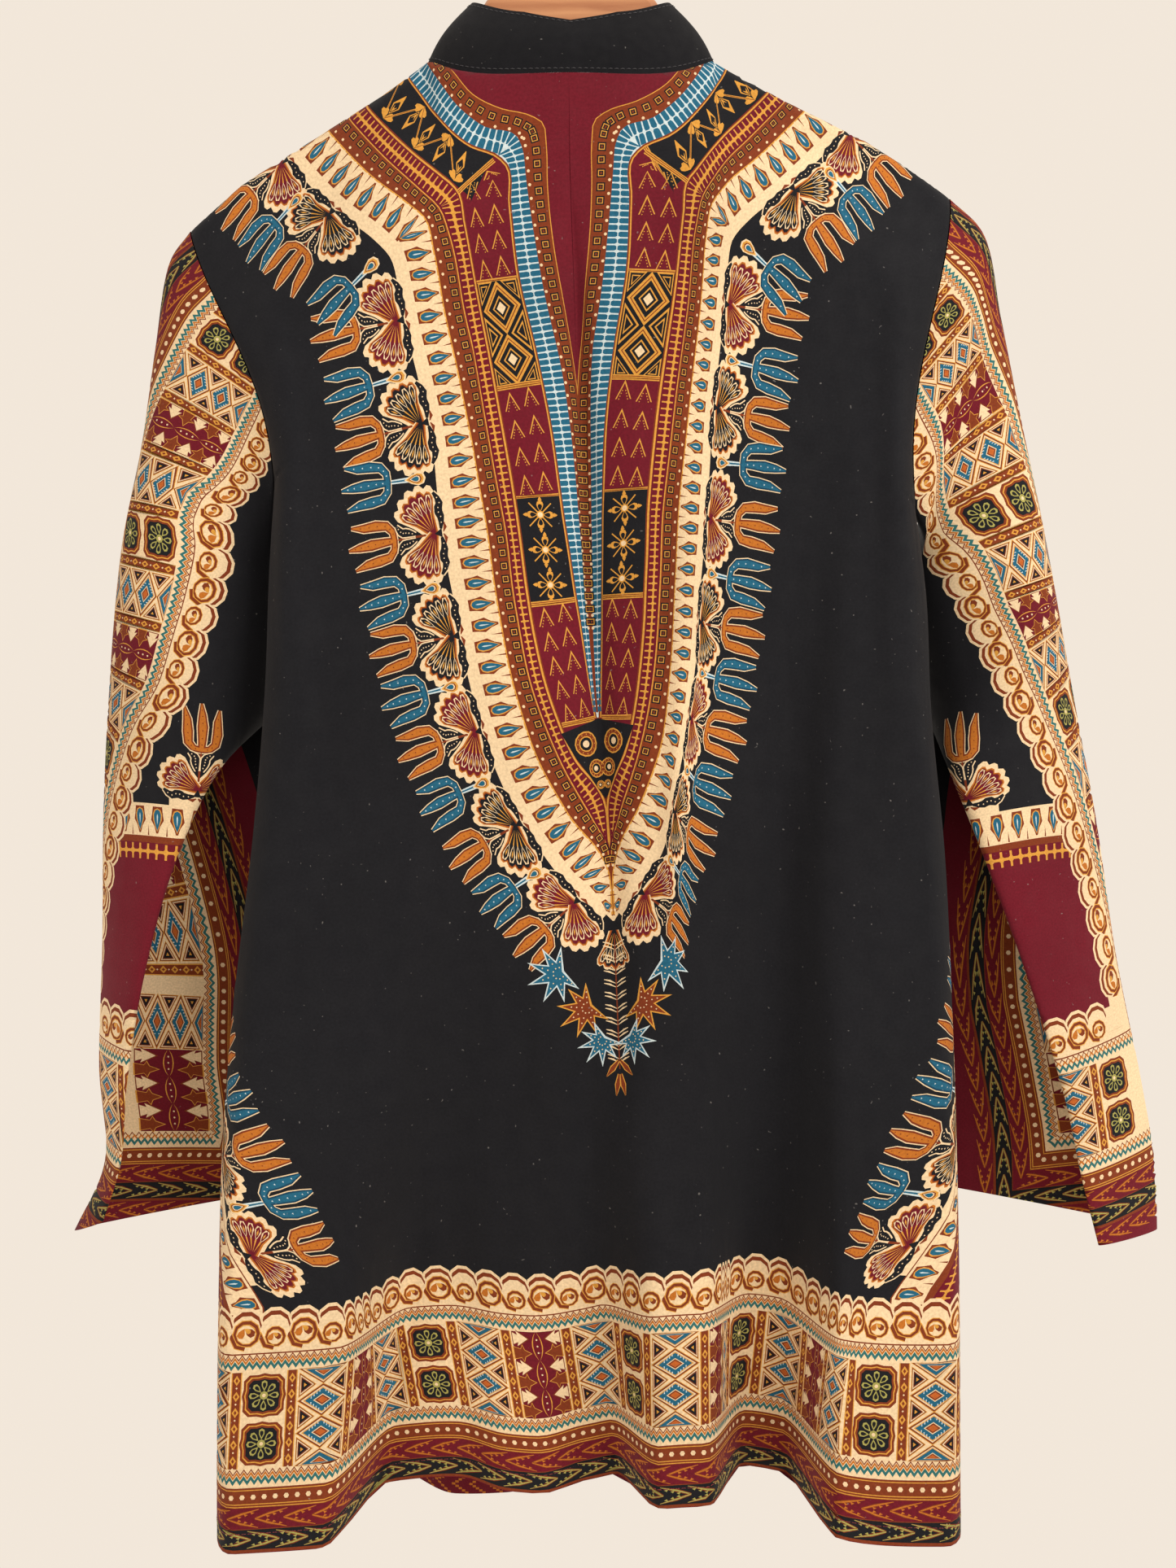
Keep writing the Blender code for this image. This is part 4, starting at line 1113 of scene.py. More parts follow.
def ring(radius, sides):
    turn = np.arange(sides) * 2 * pi / sides
    return radius * np.stack([np.cos(turn), np.sin(turn)], axis=1)


def drop(length, width, sides=10):
    """A drop along w, with its point at 0 and its round end at the length."""
    turn = np.arange(sides) * 2 * pi / sides
    rise = (1 - np.cos(turn)) / 2
    return np.stack([np.sin(turn) * rise**0.6 * width * 0.62, rise * length], axis=1)


def tapered(points, widths):
    """The outline of a stroke with its own width at each of its points."""
    points = np.asarray(points, float)
    steps = np.gradient(points, axis=0)
    side = np.stack([-steps[:, 1], steps[:, 0]], axis=1) / np.linalg.norm(steps, axis=1, keepdims=True)
    half = np.broadcast_to(np.asarray(widths, float), len(points))[:, None] / 2
    return np.concatenate([points + side * half, (points - side * half)[::-1]])


def turned(shape, lean, at=(0.0, 0.0)):
    """A shape that points along w, leant by an angle towards s and moved."""
    turn = np.array([[cos(lean), -sin(lean)], [sin(lean), cos(lean)]])
    return np.asarray(shape, float) @ turn + np.asarray(at, float)


def fan(reach, grow):
    """The outline of a palmette: a narrow neck at 0 and five lobes along w."""
    t = np.linspace(0, 1, 16)
    angle = FAN_HALF_ANGLE * (2 * t - 1) * (1 + grow / reach)
    radius = reach * (0.90 - 0.14 * (2 * t - 1) ** 2 + 0.10 * np.abs(np.sin(FAN_LOBES * pi * t))) + grow
    lobes = np.stack([radius * np.sin(angle), radius * np.cos(angle)], axis=1)
    neck = 0.05 * reach + grow
    side = np.array([(0.20 * reach + grow, 0.38 * reach), (neck, 0.0)])
    return np.concatenate([side[::-1] * (-1, 1), lobes, side])


def draw_fan(sheet, band, at, lean, reach, fill):
    for grow, ink in ((2.2, "cream"), (1.6, "amber"), (0.7, "brown"), (0.0, fill)):
        sheet.fill(band.spots(turned(fan(reach, grow), lean, at)), ink)
    for lobe in range(FAN_LOBES):
        petal_lean = lean + FAN_HALF_ANGLE * 0.8 * (2 * lobe / (FAN_LOBES - 1) - 1)
        stem = turned([(0.0, 0.1 * reach), (0.4, 0.48 * reach), (-0.4, 0.48 * reach)], petal_lean, at)
        sheet.fill(band.spots(stem), "gold")
        layers = ((1.0, 0.165, 7, "cream"), (0.88, 0.115, 6, fill), (0.45, 0.045, 4, "gold"))
        for size, wide, sides, ink in layers:
            petal = drop(0.44 * reach * size, wide * reach, sides) + (0.0, (0.69 - 0.22 * size) * reach)
            sheet.fill(band.spots(turned(petal, petal_lean, at)), ink)


def draw_leaf(sheet, band, points, width, fill="black", line="cream"):
    """A wavy leaf with a dotted rib."""
    rows = np.asarray(points, float)
    fine = np.linspace(0, len(rows) - 1, 8)
    points = np.stack([through(np.arange(len(rows)), rows[:, k], fine) for k in (0, 1)], axis=1)
    shares = np.sin(np.linspace(0.08, 0.92, len(points)) * pi)
    sheet.fill(band.spots(tapered(points, width * shares + 1.9)), line)
    sheet.fill(band.spots(tapered(points, width * shares + 0.4)), fill)
    for s, w in points[1:-1]:
        sheet.dot(band, s, w, 0.45, line, 4)


def draw_prongs(sheet, band, at, scale, fill, line, rib, dots):
    """A trident: three prongs that bend away from a common base."""
    for grow, ink in ((2.3, line), (1.2, rib), (-0.7, fill)):
        for prong in PRONGS:
            stroke = np.array([(s, w) for s, w, _ in prong]) * scale + at
            widths = np.maximum(np.array([width for _, _, width in prong]) * scale[1] + grow, 0.1)
            sheet.fill(band.spots(tapered(stroke, widths)), ink)
    for prong in PRONGS:
        path = np.array([(s, w) for s, w, _ in prong]) * scale + at
        for share in np.linspace(0.15, 0.85, 6):
            place = [np.interp(share * (len(path) - 1), np.arange(len(path)), path[:, k]) for k in (0, 1)]
            sheet.dot(band, place[0], place[1], 0.6, dots, 3)


def draw_garland(sheet, band, waists, bulbs, pitch):
    """Palmette pairs with orange tridents, and bulbs with blue tridents between them."""
    size = pitch / GARLAND_PITCH
    sheet.strip(band, waists[0] - 20 * size, waists[-1] + 20 * size, -1.0, 7.0, "cream")
    at = np.array((0.0, WAIST_OUT))
    frames = [level(band, s) for s in waists]
    for band_here in frames:
        for way in (-1, 1):
            sheet.fill(band_here.spots(turned(fan(29.0 * size, 3.4), way * FAN_LEAN, at)), "cream")
    for number, band_here in enumerate(frames):
        fill = "black" if number % 2 else "burgundy"
        sheet.fill(band_here.spots(tapered([at, at + (0, 25)], 1.3)), "brown")
        draw_prongs(sheet, band_here, at + (0, 25), (size, 1.0), "amber", "cream", "brown", "brown")
        for way in (-1, 1):
            inner = np.array([(2.5, -4.5), (9, -5.5), (14, -4), (19, -5.5), (25, -2)]) * (way * size, 1) + at
            outer = np.array([(1.6, 12), (3.2, 17), (4.0, 21), (8.5, 24)]) * (way * size, 1) + at
            draw_leaf(sheet, band_here, inner, 5.2)
            draw_leaf(sheet, band_here, outer, 4.4)
            draw_fan(sheet, band_here, at, way * FAN_LEAN, 27.0 * size, fill)
            bud = np.array([(0.6, -6), (3.4, -7.4), (6.5, -7.0)]) * (way * size, 1) + at
            sheet.fill(band_here.spots(tapered(bud, (0.6, 2.2, 0.4))), "brown")
    at = np.array((0.0, WAIST_OUT + 6.0))
    for s in bulbs:
        band_here = level(band, s)
        sheet.fill(band_here.spots(tapered([at, at + (0, 20)], (3.4, 2.2))), "pale")
        sheet.fill(band_here.spots(tapered([at, at + (0, 20)], (1.2, 0.8))), "blue")
        draw_prongs(sheet, band_here, at + (0, 19), (size, 1.0), "blue", "cream", "deep", "pale")
        for grow, ink in ((1.45, "cream"), (1.2, "gold"), (0.9, "brown"), (0.72, "cream"), (0.55, "blue")):
            bulb = drop(9.5 * grow, 6.0 * grow) * (size, -1) + at + (0, 2.5 + 4.7 * grow)
            sheet.fill(band_here.spots(bulb), ink)


def draw_comb(sheet, band, pitch, tooth, reach):
    """Round teeth from both edges of a band, face to face."""
    shape = np.array([(-0.5, -0.02), (-0.5, 0.80), (-0.32, 1.0), (0.32, 1.0), (0.5, 0.80), (0.5, -0.02)])
    for s in band.steps(0, band.length, pitch):
        near = shape * (pitch * 0.78, reach) + (s, 0)
        far = shape * (pitch * 0.78, -reach) + (s, 1)
        sheet.fill(band.spots(near), tooth)
        sheet.fill(band.spots(far), tooth)


def draw_squares(sheet, band, low, dots):
    """A row of small ringed squares and a row of dots."""
    for s in band.steps(0, band.length, SQUARE_PITCH):
        middle = band.spots([(s, low), (s + 1.0, low)])
        ahead = (middle[1] - middle[0]) / np.linalg.norm(middle[1] - middle[0])
        side = np.array([ahead[1], -ahead[0]])
        for half, ink in ((2.5, "black"), (1.75, "gold"), (1.25, "black"), (0.6, "brown")):
            signs = ((1, 1), (1, -1), (-1, -1), (-1, 1))
            corners = [middle[0] + half * (ahead * a + side * b) for a, b in signs]
            sheet.fill(corners, ink)
        sheet.dot(band, s + SQUARE_PITCH / 2, dots, 0.95, "cream")


def draw_drops(sheet, band, pitch):
    """Blue drops in spiky brown rings, points inwards, with dots and spurs between their points."""
    spikes = np.where(np.arange(12) % 2, 2.0, 1.5)[:, None]
    for s in band.steps(0, band.length, pitch):
        width = np.interp(s, band.marks, band.widths)
        core = drop(0.66, 5.2, 12) + (s, 0.17)
        middle = core.mean(0)
        stretch = np.where(np.arange(12) % 2, 1.44, 1.24)[:, None]
        grown = middle + (core - middle) * np.concatenate([spikes, stretch], axis=1)
        sheet.fill(band.spots(grown), "brown")
        sheet.fill(band.spots(middle + (core - middle) * (1.3, 1.1)), "gold")
        sheet.fill(band.spots(core), "blue")
        sheet.fill(band.spots(drop(0.34, 0.9, 6) + (s, 0.36)), "pale")
        spur = np.array([(-0.5, 0.0), (0.0, 0.34), (0.5, 0.0)]) + (s + pitch / 2, 0.02)
        sheet.fill(band.spots(spur), "brown")
        for way in (-1, 1):
            sheet.dot(band, s + way * pitch / 4, 1.4 / max(width, 1.0), 1.0, "cream", 5)


def draw_peaks(sheet, column, start, end):
    """A burgundy panel with two rows of tall gold peaks, dotted inside."""
    for row, centre in enumerate((0.29, 0.73)):
        for top in column.steps(start, end, PEAK_PITCH):
            top = top - 6.5 + row * 1.5
            peak = [(11, -0.17), (0, 0), (11, 0.17), (11, 0.145), (1.9, 0), (11, -0.145)]
            sheet.fill(column.spots(np.array(peak) + (top, centre)), "gold")
            for way in (-1, 1):
                for share in (0.35, 0.55, 0.75, 0.95):
                    sheet.dot(column, top + 3.2 + 8.2 * share, centre + way * 0.10 * share, 0.5, "gold", 3)


def draw_lattice(sheet, column, start, end):
    """Black panel with two ringed diamonds and the halves beside them."""
    length = (end - start) / 2
    rings = ((1.0, "gold"), (0.86, "brown"), (0.80, "gold"), (0.70, "black"), (0.46, "gold"), (0.38, "black"),
             (0.24, "cream"))
    for centre in (start + length / 2, end - length / 2):
        diamond = np.array([(-0.5, 0.5), (0, 0.96), (0.5, 0.5), (0, 0.04)]) * (length, 1) + (centre, 0)
        sheet.layers(column, diamond, rings)
    for s in (start, start + length, end):
        low = max(s - length * 0.40, start)
        high = min(s + length * 0.40, end)
        for edge, tip in ((0.02, 0.40), (0.98, 0.60)):
            corner = [(low, edge), (s, tip), (high, edge)]
            sheet.layers(column, corner, ((1.0, "gold"), (0.8, "black"), (0.5, "gold"), (0.35, "black")))


def draw_flowers(sheet, column, start, end, count):
    """Black panel with a column of small open flowers in gold line."""
    pitch = (end - start) / count
    for s in column.steps(start, end, pitch):
        middle = column.spots([(s, 0.5)])[0]
        for turn in range(4):
            lean = turn * pi / 2
            ray = turned([(-0.35, 2.0), (-0.35, 9.5), (0.35, 9.5), (0.35, 2.0)], lean + pi / 4)
            sheet.fill(middle + ray, "gold")
            for size, ink in ((1.0, "gold"), (0.62, "black")):
                loop = turned(drop(6.4 * size, 4.6 * size) + (0, 1.6 + 1.6 * (1 - size)), lean)
                sheet.fill(middle + loop, ink)
            paw = turned(drop(3.0, 2.6, 6) * (1, -1) + (0, 10.4), lean)
            sheet.fill(middle + paw, "gold")
        sheet.fill(middle + ring(2.4, 8), "gold")
        sheet.fill(middle + ring(1.6, 8), "cream")


def draw_triangles(sheet, column, start, end):
    """Black shoulder panel with a gold zigzag, and a leaf and paws in each of its triangles."""
    marks = column.steps(start, end - 17, 15.5)
    pitch = marks[1] - marks[0]
    for number, s in enumerate(marks):
        low, high = (0.06, 0.94) if number % 2 else (0.94, 0.06)
        line = [(s - pitch / 2, low), (s + pitch / 2, high)]
        ends = column.spots(line)
        sheet.fill(tapered(ends, 1.1), "gold")
        sheet.fill(tapered(ends, 0.4), "brown")
        middle = column.spots([(s + pitch / 2, 0.5)])[0]
        root = column.spots([(s + pitch / 2, high)])[0]
        out = (middle - root) / np.linalg.norm(middle - root)
        lean = np.arctan2(out[0], out[1])
        for size, ink in ((1.0, "gold"), (0.74, "black"), (0.42, "gold")):
            blade = tapered([(0, 4.5 - 3 * size + 3), (0, 11), (0, 20 * size)], (0.4, 6.4 * size, 0.4))
            sheet.fill(root + turned(blade, lean), ink)
        for side in (-0.95, -0.5, 0.5, 0.95):
            sheet.fill(root + turned(drop(7.2, 3.4, 8), lean + side), "gold")


def draw_curl(sheet, at, radius, way):
    """A volute: brown and gold rings around a pale eye."""
    for size, ink in ((1.0, "gold"), (0.88, "brown"), (0.62, "gold"), (0.52, "black"), (0.28, "cream")):
        sheet.fill(ring(radius * size, 14) + at + np.array((way * 0.10 * radius * (1 - size), 0)), ink)
    for turn in np.arange(0, 2 * pi, pi / 6):
        place = np.array((cos(turn), sin(turn))) * radius * 0.76 + at
        sheet.fill(ring(0.5, 3) + place, "gold")


def draw_star(sheet, at, lean, size, ink, line):
    """A leaf with seven long points."""
    for grow, layer in ((1.3, line), (0.0, ink)):
        points = []
        for number in range(13):
            angle = lean + radians(-117 + 19.5 * number)
            reach = size + 1.5 * grow if number % 2 == 0 else size * 0.44
            reach = reach * (0.85 + 0.15 * cos(angle - lean)) + grow
            points.append((reach * sin(angle), reach * cos(angle)))
        points.append((-(grow + 2.0) * sin(lean), -(grow + 2.0) * cos(lean)))
        sheet.fill(np.array(points) + at, layer)
    for angle in (-117, -78, -39, 0, 39, 78, 117):
        for reach in (0.2, 0.4, 0.6):
            place = size * reach * np.array((sin(lean + radians(angle)), cos(lean + radians(angle))))
            sheet.fill(ring(0.5, 4) + place + at, "cream")


def draw_stem(sheet, start, end):
    """The stem below the last palmette: small thorns in pairs, and two buds at its end."""
    sheet.fill(tapered([(0.0, start), (0.0, end)], 0.8), "brown")
    for down in np.arange(start + 4, end - 4, 7.5):
        for lift in (0.0, 2.2):
            path = [(0.3, down + lift + 3.4), (4.0, down + lift + 1.2), (7.2, down + lift)]
            sheet.fill(tapered(path, (0.3, 1.0, 0.4)), "cream")
    for down, length, lean in ((end - 5.0, 12.0, 0.75), (end + 3.0, 13.0, 0.20)):
        for grow, ink in ((1.6, "gold"), (0.4, "brown")):
            widths = (0.4 + grow, 2.4 + grow, 0.2 + grow * 0.2)
            bud = tapered([(0, 0), (0, length * 0.5), (0, length)], widths)
            sheet.fill(turned(bud, lean, (0.6, down)), ink)


def draw_vine(sheet, band, start, end):
    """The scalloped edge with a curling vine: a ring and a leaf in each scallop."""
    for number, s in enumerate(band.steps(start, end, VINE_PITCH)):
        low = 14.6 if number % 2 else 16.8
        size = 1.0 if number % 2 else 0.76
        for place, radius, ink in (
            ((0.0, 9.3), 9.4, "cream"),
            ((0.0, 10.3), 8.4, "brown"),
            ((0.0, 12.4), 8.0, "cream"),
            ((0.0, low), 8.0 * size, "gold"),
            ((0.0, low), 7.4 * size, "brown"),
            ((0.2, low + 0.3), 5.8 * size, "gold"),
            ((0.3, low + 0.4), 5.2 * size, "cream"),
        ):
            shape = ring(radius, 10) + np.array(place) + (s, 0)
            sheet.fill(band.spots(shape), ink)
        for grown, lean, ink in ((1.0, -0.9, "brown"), (0.9, 0.5, "amber"), (0.6, -0.9, "gold")):
            leaf = turned(drop(7.0 * size * grown, 5.2 * size * grown, 8), lean)
            sheet.fill(band.spots(leaf + (s + 1.2, low + 0.4 - 3.4 * size)), ink)
        for wide, ink in ((3.0, "gold"), (2.0, "brown")):
            path = [(s + 1.0, 23.0), (s + 6.0, 21.6), (s + 8.6, 16.0), (s + 9.4, 11.5)]
            sheet.fill(band.spots(tapered(path, (wide, wide, wide, 0.6))), ink)


def draw_zigzag(sheet, band, start, end, middle, ink, wide):
    """A zigzag line, printed in short lengths."""
    marks = np.arange(start, end, ZIGZAG_PITCH / 2)
    high = middle + 1.4 * (np.arange(len(marks)) % 2 * 2 - 1)
    for first in range(0, len(marks) - 1, 12):
        part = slice(first, first + 13)
        near = np.stack([marks[part], high[part] - wide], axis=1)
        far = np.stack([marks[part], high[part] + wide], axis=1)
        sheet.fill(band.spots(np.concatenate([near, far[::-1]])), ink)


def draw_chevrons(sheet, band, start, end, low, high, way, ink, shade):
    """A row of long feathered chevrons that point along the row."""
    middle = (low + high) / 2
    half = (high - low) / 2 - 0.8
    for s in band.steps(start, end, CHEVRON_PITCH):
        tip = s - way * 7.0
        for side in (-1, 1):
            knee = (tip + way * 8, middle + side * half * 0.52)
            leg = [(tip, middle), knee, (tip + way * 18, middle + side * half)]
            sheet.fill(band.spots(tapered(leg, (1.2, 1.9, 0.4))), shade)
            sheet.fill(band.spots(tapered(leg, (0.6, 0.9, 0.3))), ink)
            for step in range(3):
                s_leg = tip + way * (6.0 + 3.6 * step)
                w_leg = middle + side * half * (0.34 + 0.21 * step)
                tick = [(0.0, 0.0), (way * 2.4, -side * 0.6), (way * 0.8, -side * 1.5)]
                sheet.fill(band.spots(np.array(tick) + (s_leg, w_leg)), ink)


def draw_cross_block(sheet, band, start, end):
    """Two blue diamonds on a lattice, with black triangles at the sides."""
    low, high = BLOCK_ROWS
    cell = (high - low) / 3
    middle = (start + end) / 2
    half = (end - start) / 2
    for row in range(4):
        centre = low + cell * row
        top = max(centre - cell / 2 + 0.9, low)
        foot = min(centre + cell / 2 - 0.9, high)
        reach = half * 0.88
        diamond = [(middle, top), (middle + reach, centre), (middle, foot), (middle - reach, centre)]
        if row in (0, 3):
            diamond[0 if row == 0 else 2] = (middle, centre)
        sheet.layers(band, diamond, ((1.16, "gold"), (1.10, "brown"), (0.98, "cream"), (0.88, "gold"),
                                     (0.80, "blue"), (0.42, "cream"), (0.35, "brown"), (0.24, "orange")))
        if row in (1, 2):
            for way_s, way_w in ((1, 1), (1, -1), (-1, 1), (-1, -1)):
                for share in (0.22, 0.42, 0.62, 0.82):
                    s = middle + way_s * half * 0.55 * share
                    w = centre + way_w * cell * 0.32 * (1 - share)
                    tick = [(-0.35, 0.0), (0.35, 0.0), (0.0, way_w * 1.9)]
                    sheet.fill(band.spots(np.array((s, w)) + tick), "pale")
    for row in range(3):
        centre = low + cell * (row + 0.5)
        for edge, way in ((start, 1), (end, -1)):
            corner = [(edge + way * 0.8, centre - cell * 0.36), (edge + way * half * 0.68, centre),
                      (edge + way * 0.8, centre + cell * 0.36)]
            sheet.layers(band, corner, ((1.12, "gold"), (1.02, "brown"), (0.88, "cream"), (0.72, "brown"),
                                        (0.56, "black"), (0.18, "gold")))


def draw_flower_block(sheet, band, start, end):
    """Two black tiles, each with an eight-petalled flower in olive line."""
    low, high = BLOCK_ROWS
    half = (end - start) / 2
    turn = np.arange(20) * 2 * pi / 20
    wavy = 1 + 0.10 * np.cos(4 * turn + pi) + 0.05 * np.cos(12 * turn)
    for centre in (low + (high - low) * 0.25, low + (high - low) * 0.75):
        at = np.array(((start + end) / 2, centre))
        for size, ink in ((1.08, "brown"), (0.96, "gold"), (0.90, "brown"), (0.80, "black")):
            sheet.fill(band.spots(ring(half * size, 20) * wavy[:, None] + at), ink)
        for petal in range(8):
            lean = petal * pi / 4
            for size, ink in ((1.0, "olive"), (0.60, "black")):
                shape = drop(half * 0.50 * size, half * 0.32 * size, 8)
                shape = shape + (0, half * (0.20 + 0.25 * (1 - size)))
                sheet.fill(band.spots(turned(shape, lean, at)), ink)
        sheet.fill(band.spots(ring(half * 0.20, 8) + at), "olive")
        sheet.fill(band.spots(ring(half * 0.09, 6) + at), "cream")


def draw_tooth_block(sheet, band, start, end):
    """A burgundy block with a chain of lenses between rows of pale teeth."""
    low, high = BLOCK_ROWS
    middle = (start + end) / 2
    half = (end - start) / 2
    sheet.strip(band, start + 0.5, end - 0.5, low, high, "burgundy")
    cell = (high - low) / 3
    arrow = np.array([(0.95, -0.20), (0.75, -0.12), (0.80, -0.26), (0.36, 0.0), (0.80, 0.26), (0.75, 0.12),
                      (0.95, 0.20)])
    leaf = np.array([(0.97, -0.20), (0.70, -0.14), (0.62, -0.27), (0.55, -0.11), (0.30, 0.0), (0.55, 0.11),
                     (0.62, 0.27), (0.70, 0.14), (0.97, 0.20)])
    for row in range(3):
        for way in (-1, 1):
            at = (middle, low + cell * (row + 0.75))
            sheet.layers(band, leaf * (way * half, cell) + at, ((1.14, "gold"), (1.0, "brown")))
            at = (middle, low + cell * (row + 0.25))
            sheet.layers(band, arrow * (way * half, cell) + at, ((1.18, "brown"), (1.0, "cream")))
    spread = np.linspace(0, 1, 7)
    for row in range(3):
        centre = low + cell * (row + 0.5)
        for size, ink in ((1.0, "gold"), (0.78, "burgundy")):
            ridge = np.stack([np.full(7, middle), low + cell * (row + spread)], axis=1)
            lens = tapered(ridge, 0.5 + 6.0 * size * np.sin(spread * pi) ** 0.8)
            sheet.fill(band.spots(lens), ink)
        for shift in (-4, 0, 4):
            sheet.dot(band, middle, centre + shift, 0.6, "cream", 5)


def draw_strip(sheet, band, start, end):
    """A narrow brown strip with small gold diamonds."""
    low, high = BLOCK_ROWS
    sheet.strip(band, start + 0.5, end - 0.5, low, high, "gold")
    sheet.strip(band, start + 1.1, end - 1.1, low, high, "brown")
    middle = (start + end) / 2
    for row in range(6):
        centre = low + (high - low) * (row + 0.5) / 6
        diamond = np.array([(0.0, -2.8), (1.9, 0.0), (0.0, 2.8), (-1.9, 0.0)]) + (middle, centre)
        sheet.layers(band, diamond, ((1.0, "gold"), (0.45, "brown")))
        sheet.dot(band, middle, centre + 4.2, 0.6, "cream", 4)


def draw_border(sheet, band, start, end, first, slant_start=0.0, slant_end=0.0):
    """The wide border along a band, from its scalloped edge out. first is where its blocks' repeat starts."""

    def row(low, high, ink):
        sheet.strip(band, start, end, low, high, ink, slant_start, slant_end)

    def span(at):
        return start - at * slant_start, end + at * slant_end

    row(*TOP_ROW)
    draw_vine(sheet, band, start, end)
    row(*VINE_LINE)
    for middle, ink, wide in ZIGZAG_ROWS:
        draw_zigzag(sheet, band, *span(middle), middle, ink, wide)
    repeat = []
    for length, draw in ((FLOWER_LENGTH, draw_flower_block), (CROSS_LENGTH, draw_cross_block),
                         (TOOTH_LENGTH, draw_tooth_block), (CROSS_LENGTH, draw_cross_block)):
        repeat += [(length, draw), (STRIP_LENGTH, draw_strip)]
    s = first
    while s < end:
        for length, draw in repeat:
            if s >= start - BLOCK_ROWS[0] * slant_start - 1 and s + length <= end + 1:
                draw(sheet, band, s, s + length)
            s += length
    for low, high, ink in LOW_ROWS:
        row(low, high, ink)
    for s in band.steps(*span(DOT_ROW), DOT_PITCH):
        sheet.dot(band, s, DOT_ROW, DOT_RADIUS, "cream")
    for chevrons in CHEVRON_ROWS:
        draw_chevrons(sheet, band, *span(chevrons.middle), *chevrons[1:])


def draw_plastron(sheet):
    """The pointed panel below the neck, one half; the other mirrors it."""
    lines = {name: smooth_line(rows) for name, rows in PLASTRON_LINES.items()}

    def inside(name, out, ink):
        edge = moved(lines[name], out)
        top = edge[0] * (1, 0) + (0, PLASTRON_TOP)
        middle = [(0.0, edge[-1][1]), (0.0, PLASTRON_TOP)]
        sheet.fill(np.concatenate([[top], np.maximum(edge, (0.0, -1000)), middle]), ink)

    cream = between(lines["squares"], lines["drops"])
    garland = Band(lines["drops"], np.interp(Band(lines["drops"]).marks, (250, 560), (1.0, 0.84)))
    waists = [garland.foot(waist) for waist in WAISTS]
    bulbs = [(one + other) / 2 for one, other in zip(waists, waists[1:])]
    draw_garland(sheet, garland, waists, bulbs, 58.0)
    for name, out, ink in (
        ("drops", 0.7, "cream"),
        ("squares", 1.0, "gold"), ("squares", 0.0, "brown"),
        ("ladder", 0.9, "gold"), ("ladder", 0.2, "burgundy"), ("ladder", -1.2, "gold"),
        ("column", 1.6, "burgundy"), ("column", 0.6, "gold"), ("column", -0.6, "brown"),
        ("column", -1.4, "burgundy"),
    ):
        inside(name, out, ink)
    draw_drops(sheet, cream, DROP_PITCH)
    draw_squares(sheet, between(lines["ladder"], lines["squares"]), 0.36, 0.80)
    ladder = between(moved(lines["column"], 1.6), moved(lines["ladder"], -0.4))
    draw_comb(sheet, ladder, COMB_PITCH, "burgundy", 0.42)

    column = between(moved(lines["comb"], 2.0), moved(lines["column"], -1.4))
    marks = [column.foot(place) for place in PANEL_TOPS]
    for number, (start, end) in enumerate(zip(marks, marks[1:])):
        kind = PANEL_KINDS[number]
        if kind != "peaks":
            sheet.strip(column, start, end, 0.0, 1.0, "black")
        draw = {"peaks": draw_peaks, "lattice": draw_lattice, "triangles": draw_triangles}.get(kind)
        if draw:
            draw(sheet, column, start, end)
        elif kind == "flowers":
            draw_flowers(sheet, column, start, end, 3)
        for out, ink in ((1.5, "gold"), (0.8, "brown"), (0.3, "gold")):
            sheet.strip(column, end - out, end + out, 0.0, 1.0, ink)
    top = [(43.5, 46.0), (68.5, 64.0)]
    for wide, ink in ((3.0, "gold"), (1.6, "brown"), (0.6, "gold")):
        sheet.fill(tapered(top, wide), ink)
    tip = [(0.0, 369.5), (25.5, 377.0), (17.5, 392.0), (0.0, 418.0)]
    sheet.fill(tip, "black")
    for at, radius in (((10.0, 384.0), 7.6), ((4.2, 399.0), 5.6), ((2.4, 409.0), 2.6)):
        draw_curl(sheet, at, radius, 1)
    for name, out, ink in (
        ("comb", 1.8, "gold"), ("comb", 1.0, "brown"), ("comb", 0.0, "pale"),
        ("brown", 0.0, "brown"), ("neck", 0.5, "gold"), ("neck", 0.0, "burgundy"),
    ):
        inside(name, out, ink)
    draw_comb(sheet, between(lines["brown"], lines["comb"]), COMB_PITCH, "blue", 0.475)
    draw_squares(sheet, between(lines["neck"], lines["brown"]), 0.45, 0.86)

    reach, down = BOTTOM_FAN
    draw_fan(sheet, Band([(40.0, down), (-40.0, down)]), (40.0, 0.0), 0.0, reach, "black")
    draw_stem(sheet, *STEM)
    for star in STARS:
        draw_star(sheet, (star.out, star.down), radians(star.lean), star.size, star.ink, star.line)


def draw_medallion(sheet, centre, wide, tall, waists, bulbs):
    """A half medallion that stands on the border, with its garland outside it."""

    def arc(grow):
        turn = np.linspace(0, pi / 2, 40)
        out = centre[0] - (wide + grow) * np.cos(turn)
        down = centre[1] - (tall + grow) * np.sin(turn)
        return np.stack([out, down], axis=1)

    draw_garland(sheet, Band(arc(0), 1.0), waists, bulbs, 50.0)
    corner = [centre]
    for grow, ink in ((0.8, "brown"), (0.0, "cream"), (-18.0, "brown"), (-23.0, "burgundy"), (-24.5, "gold"),
                      (-33.0, "burgundy")):
        sheet.fill(np.concatenate([arc(grow), corner]), ink)
    draw_drops(sheet, between(arc(-18.0), arc(0)), DROP_PITCH)
    draw_comb(sheet, between(arc(-33.5), arc(-24.0)), COMB_PITCH, "burgundy", 0.42)


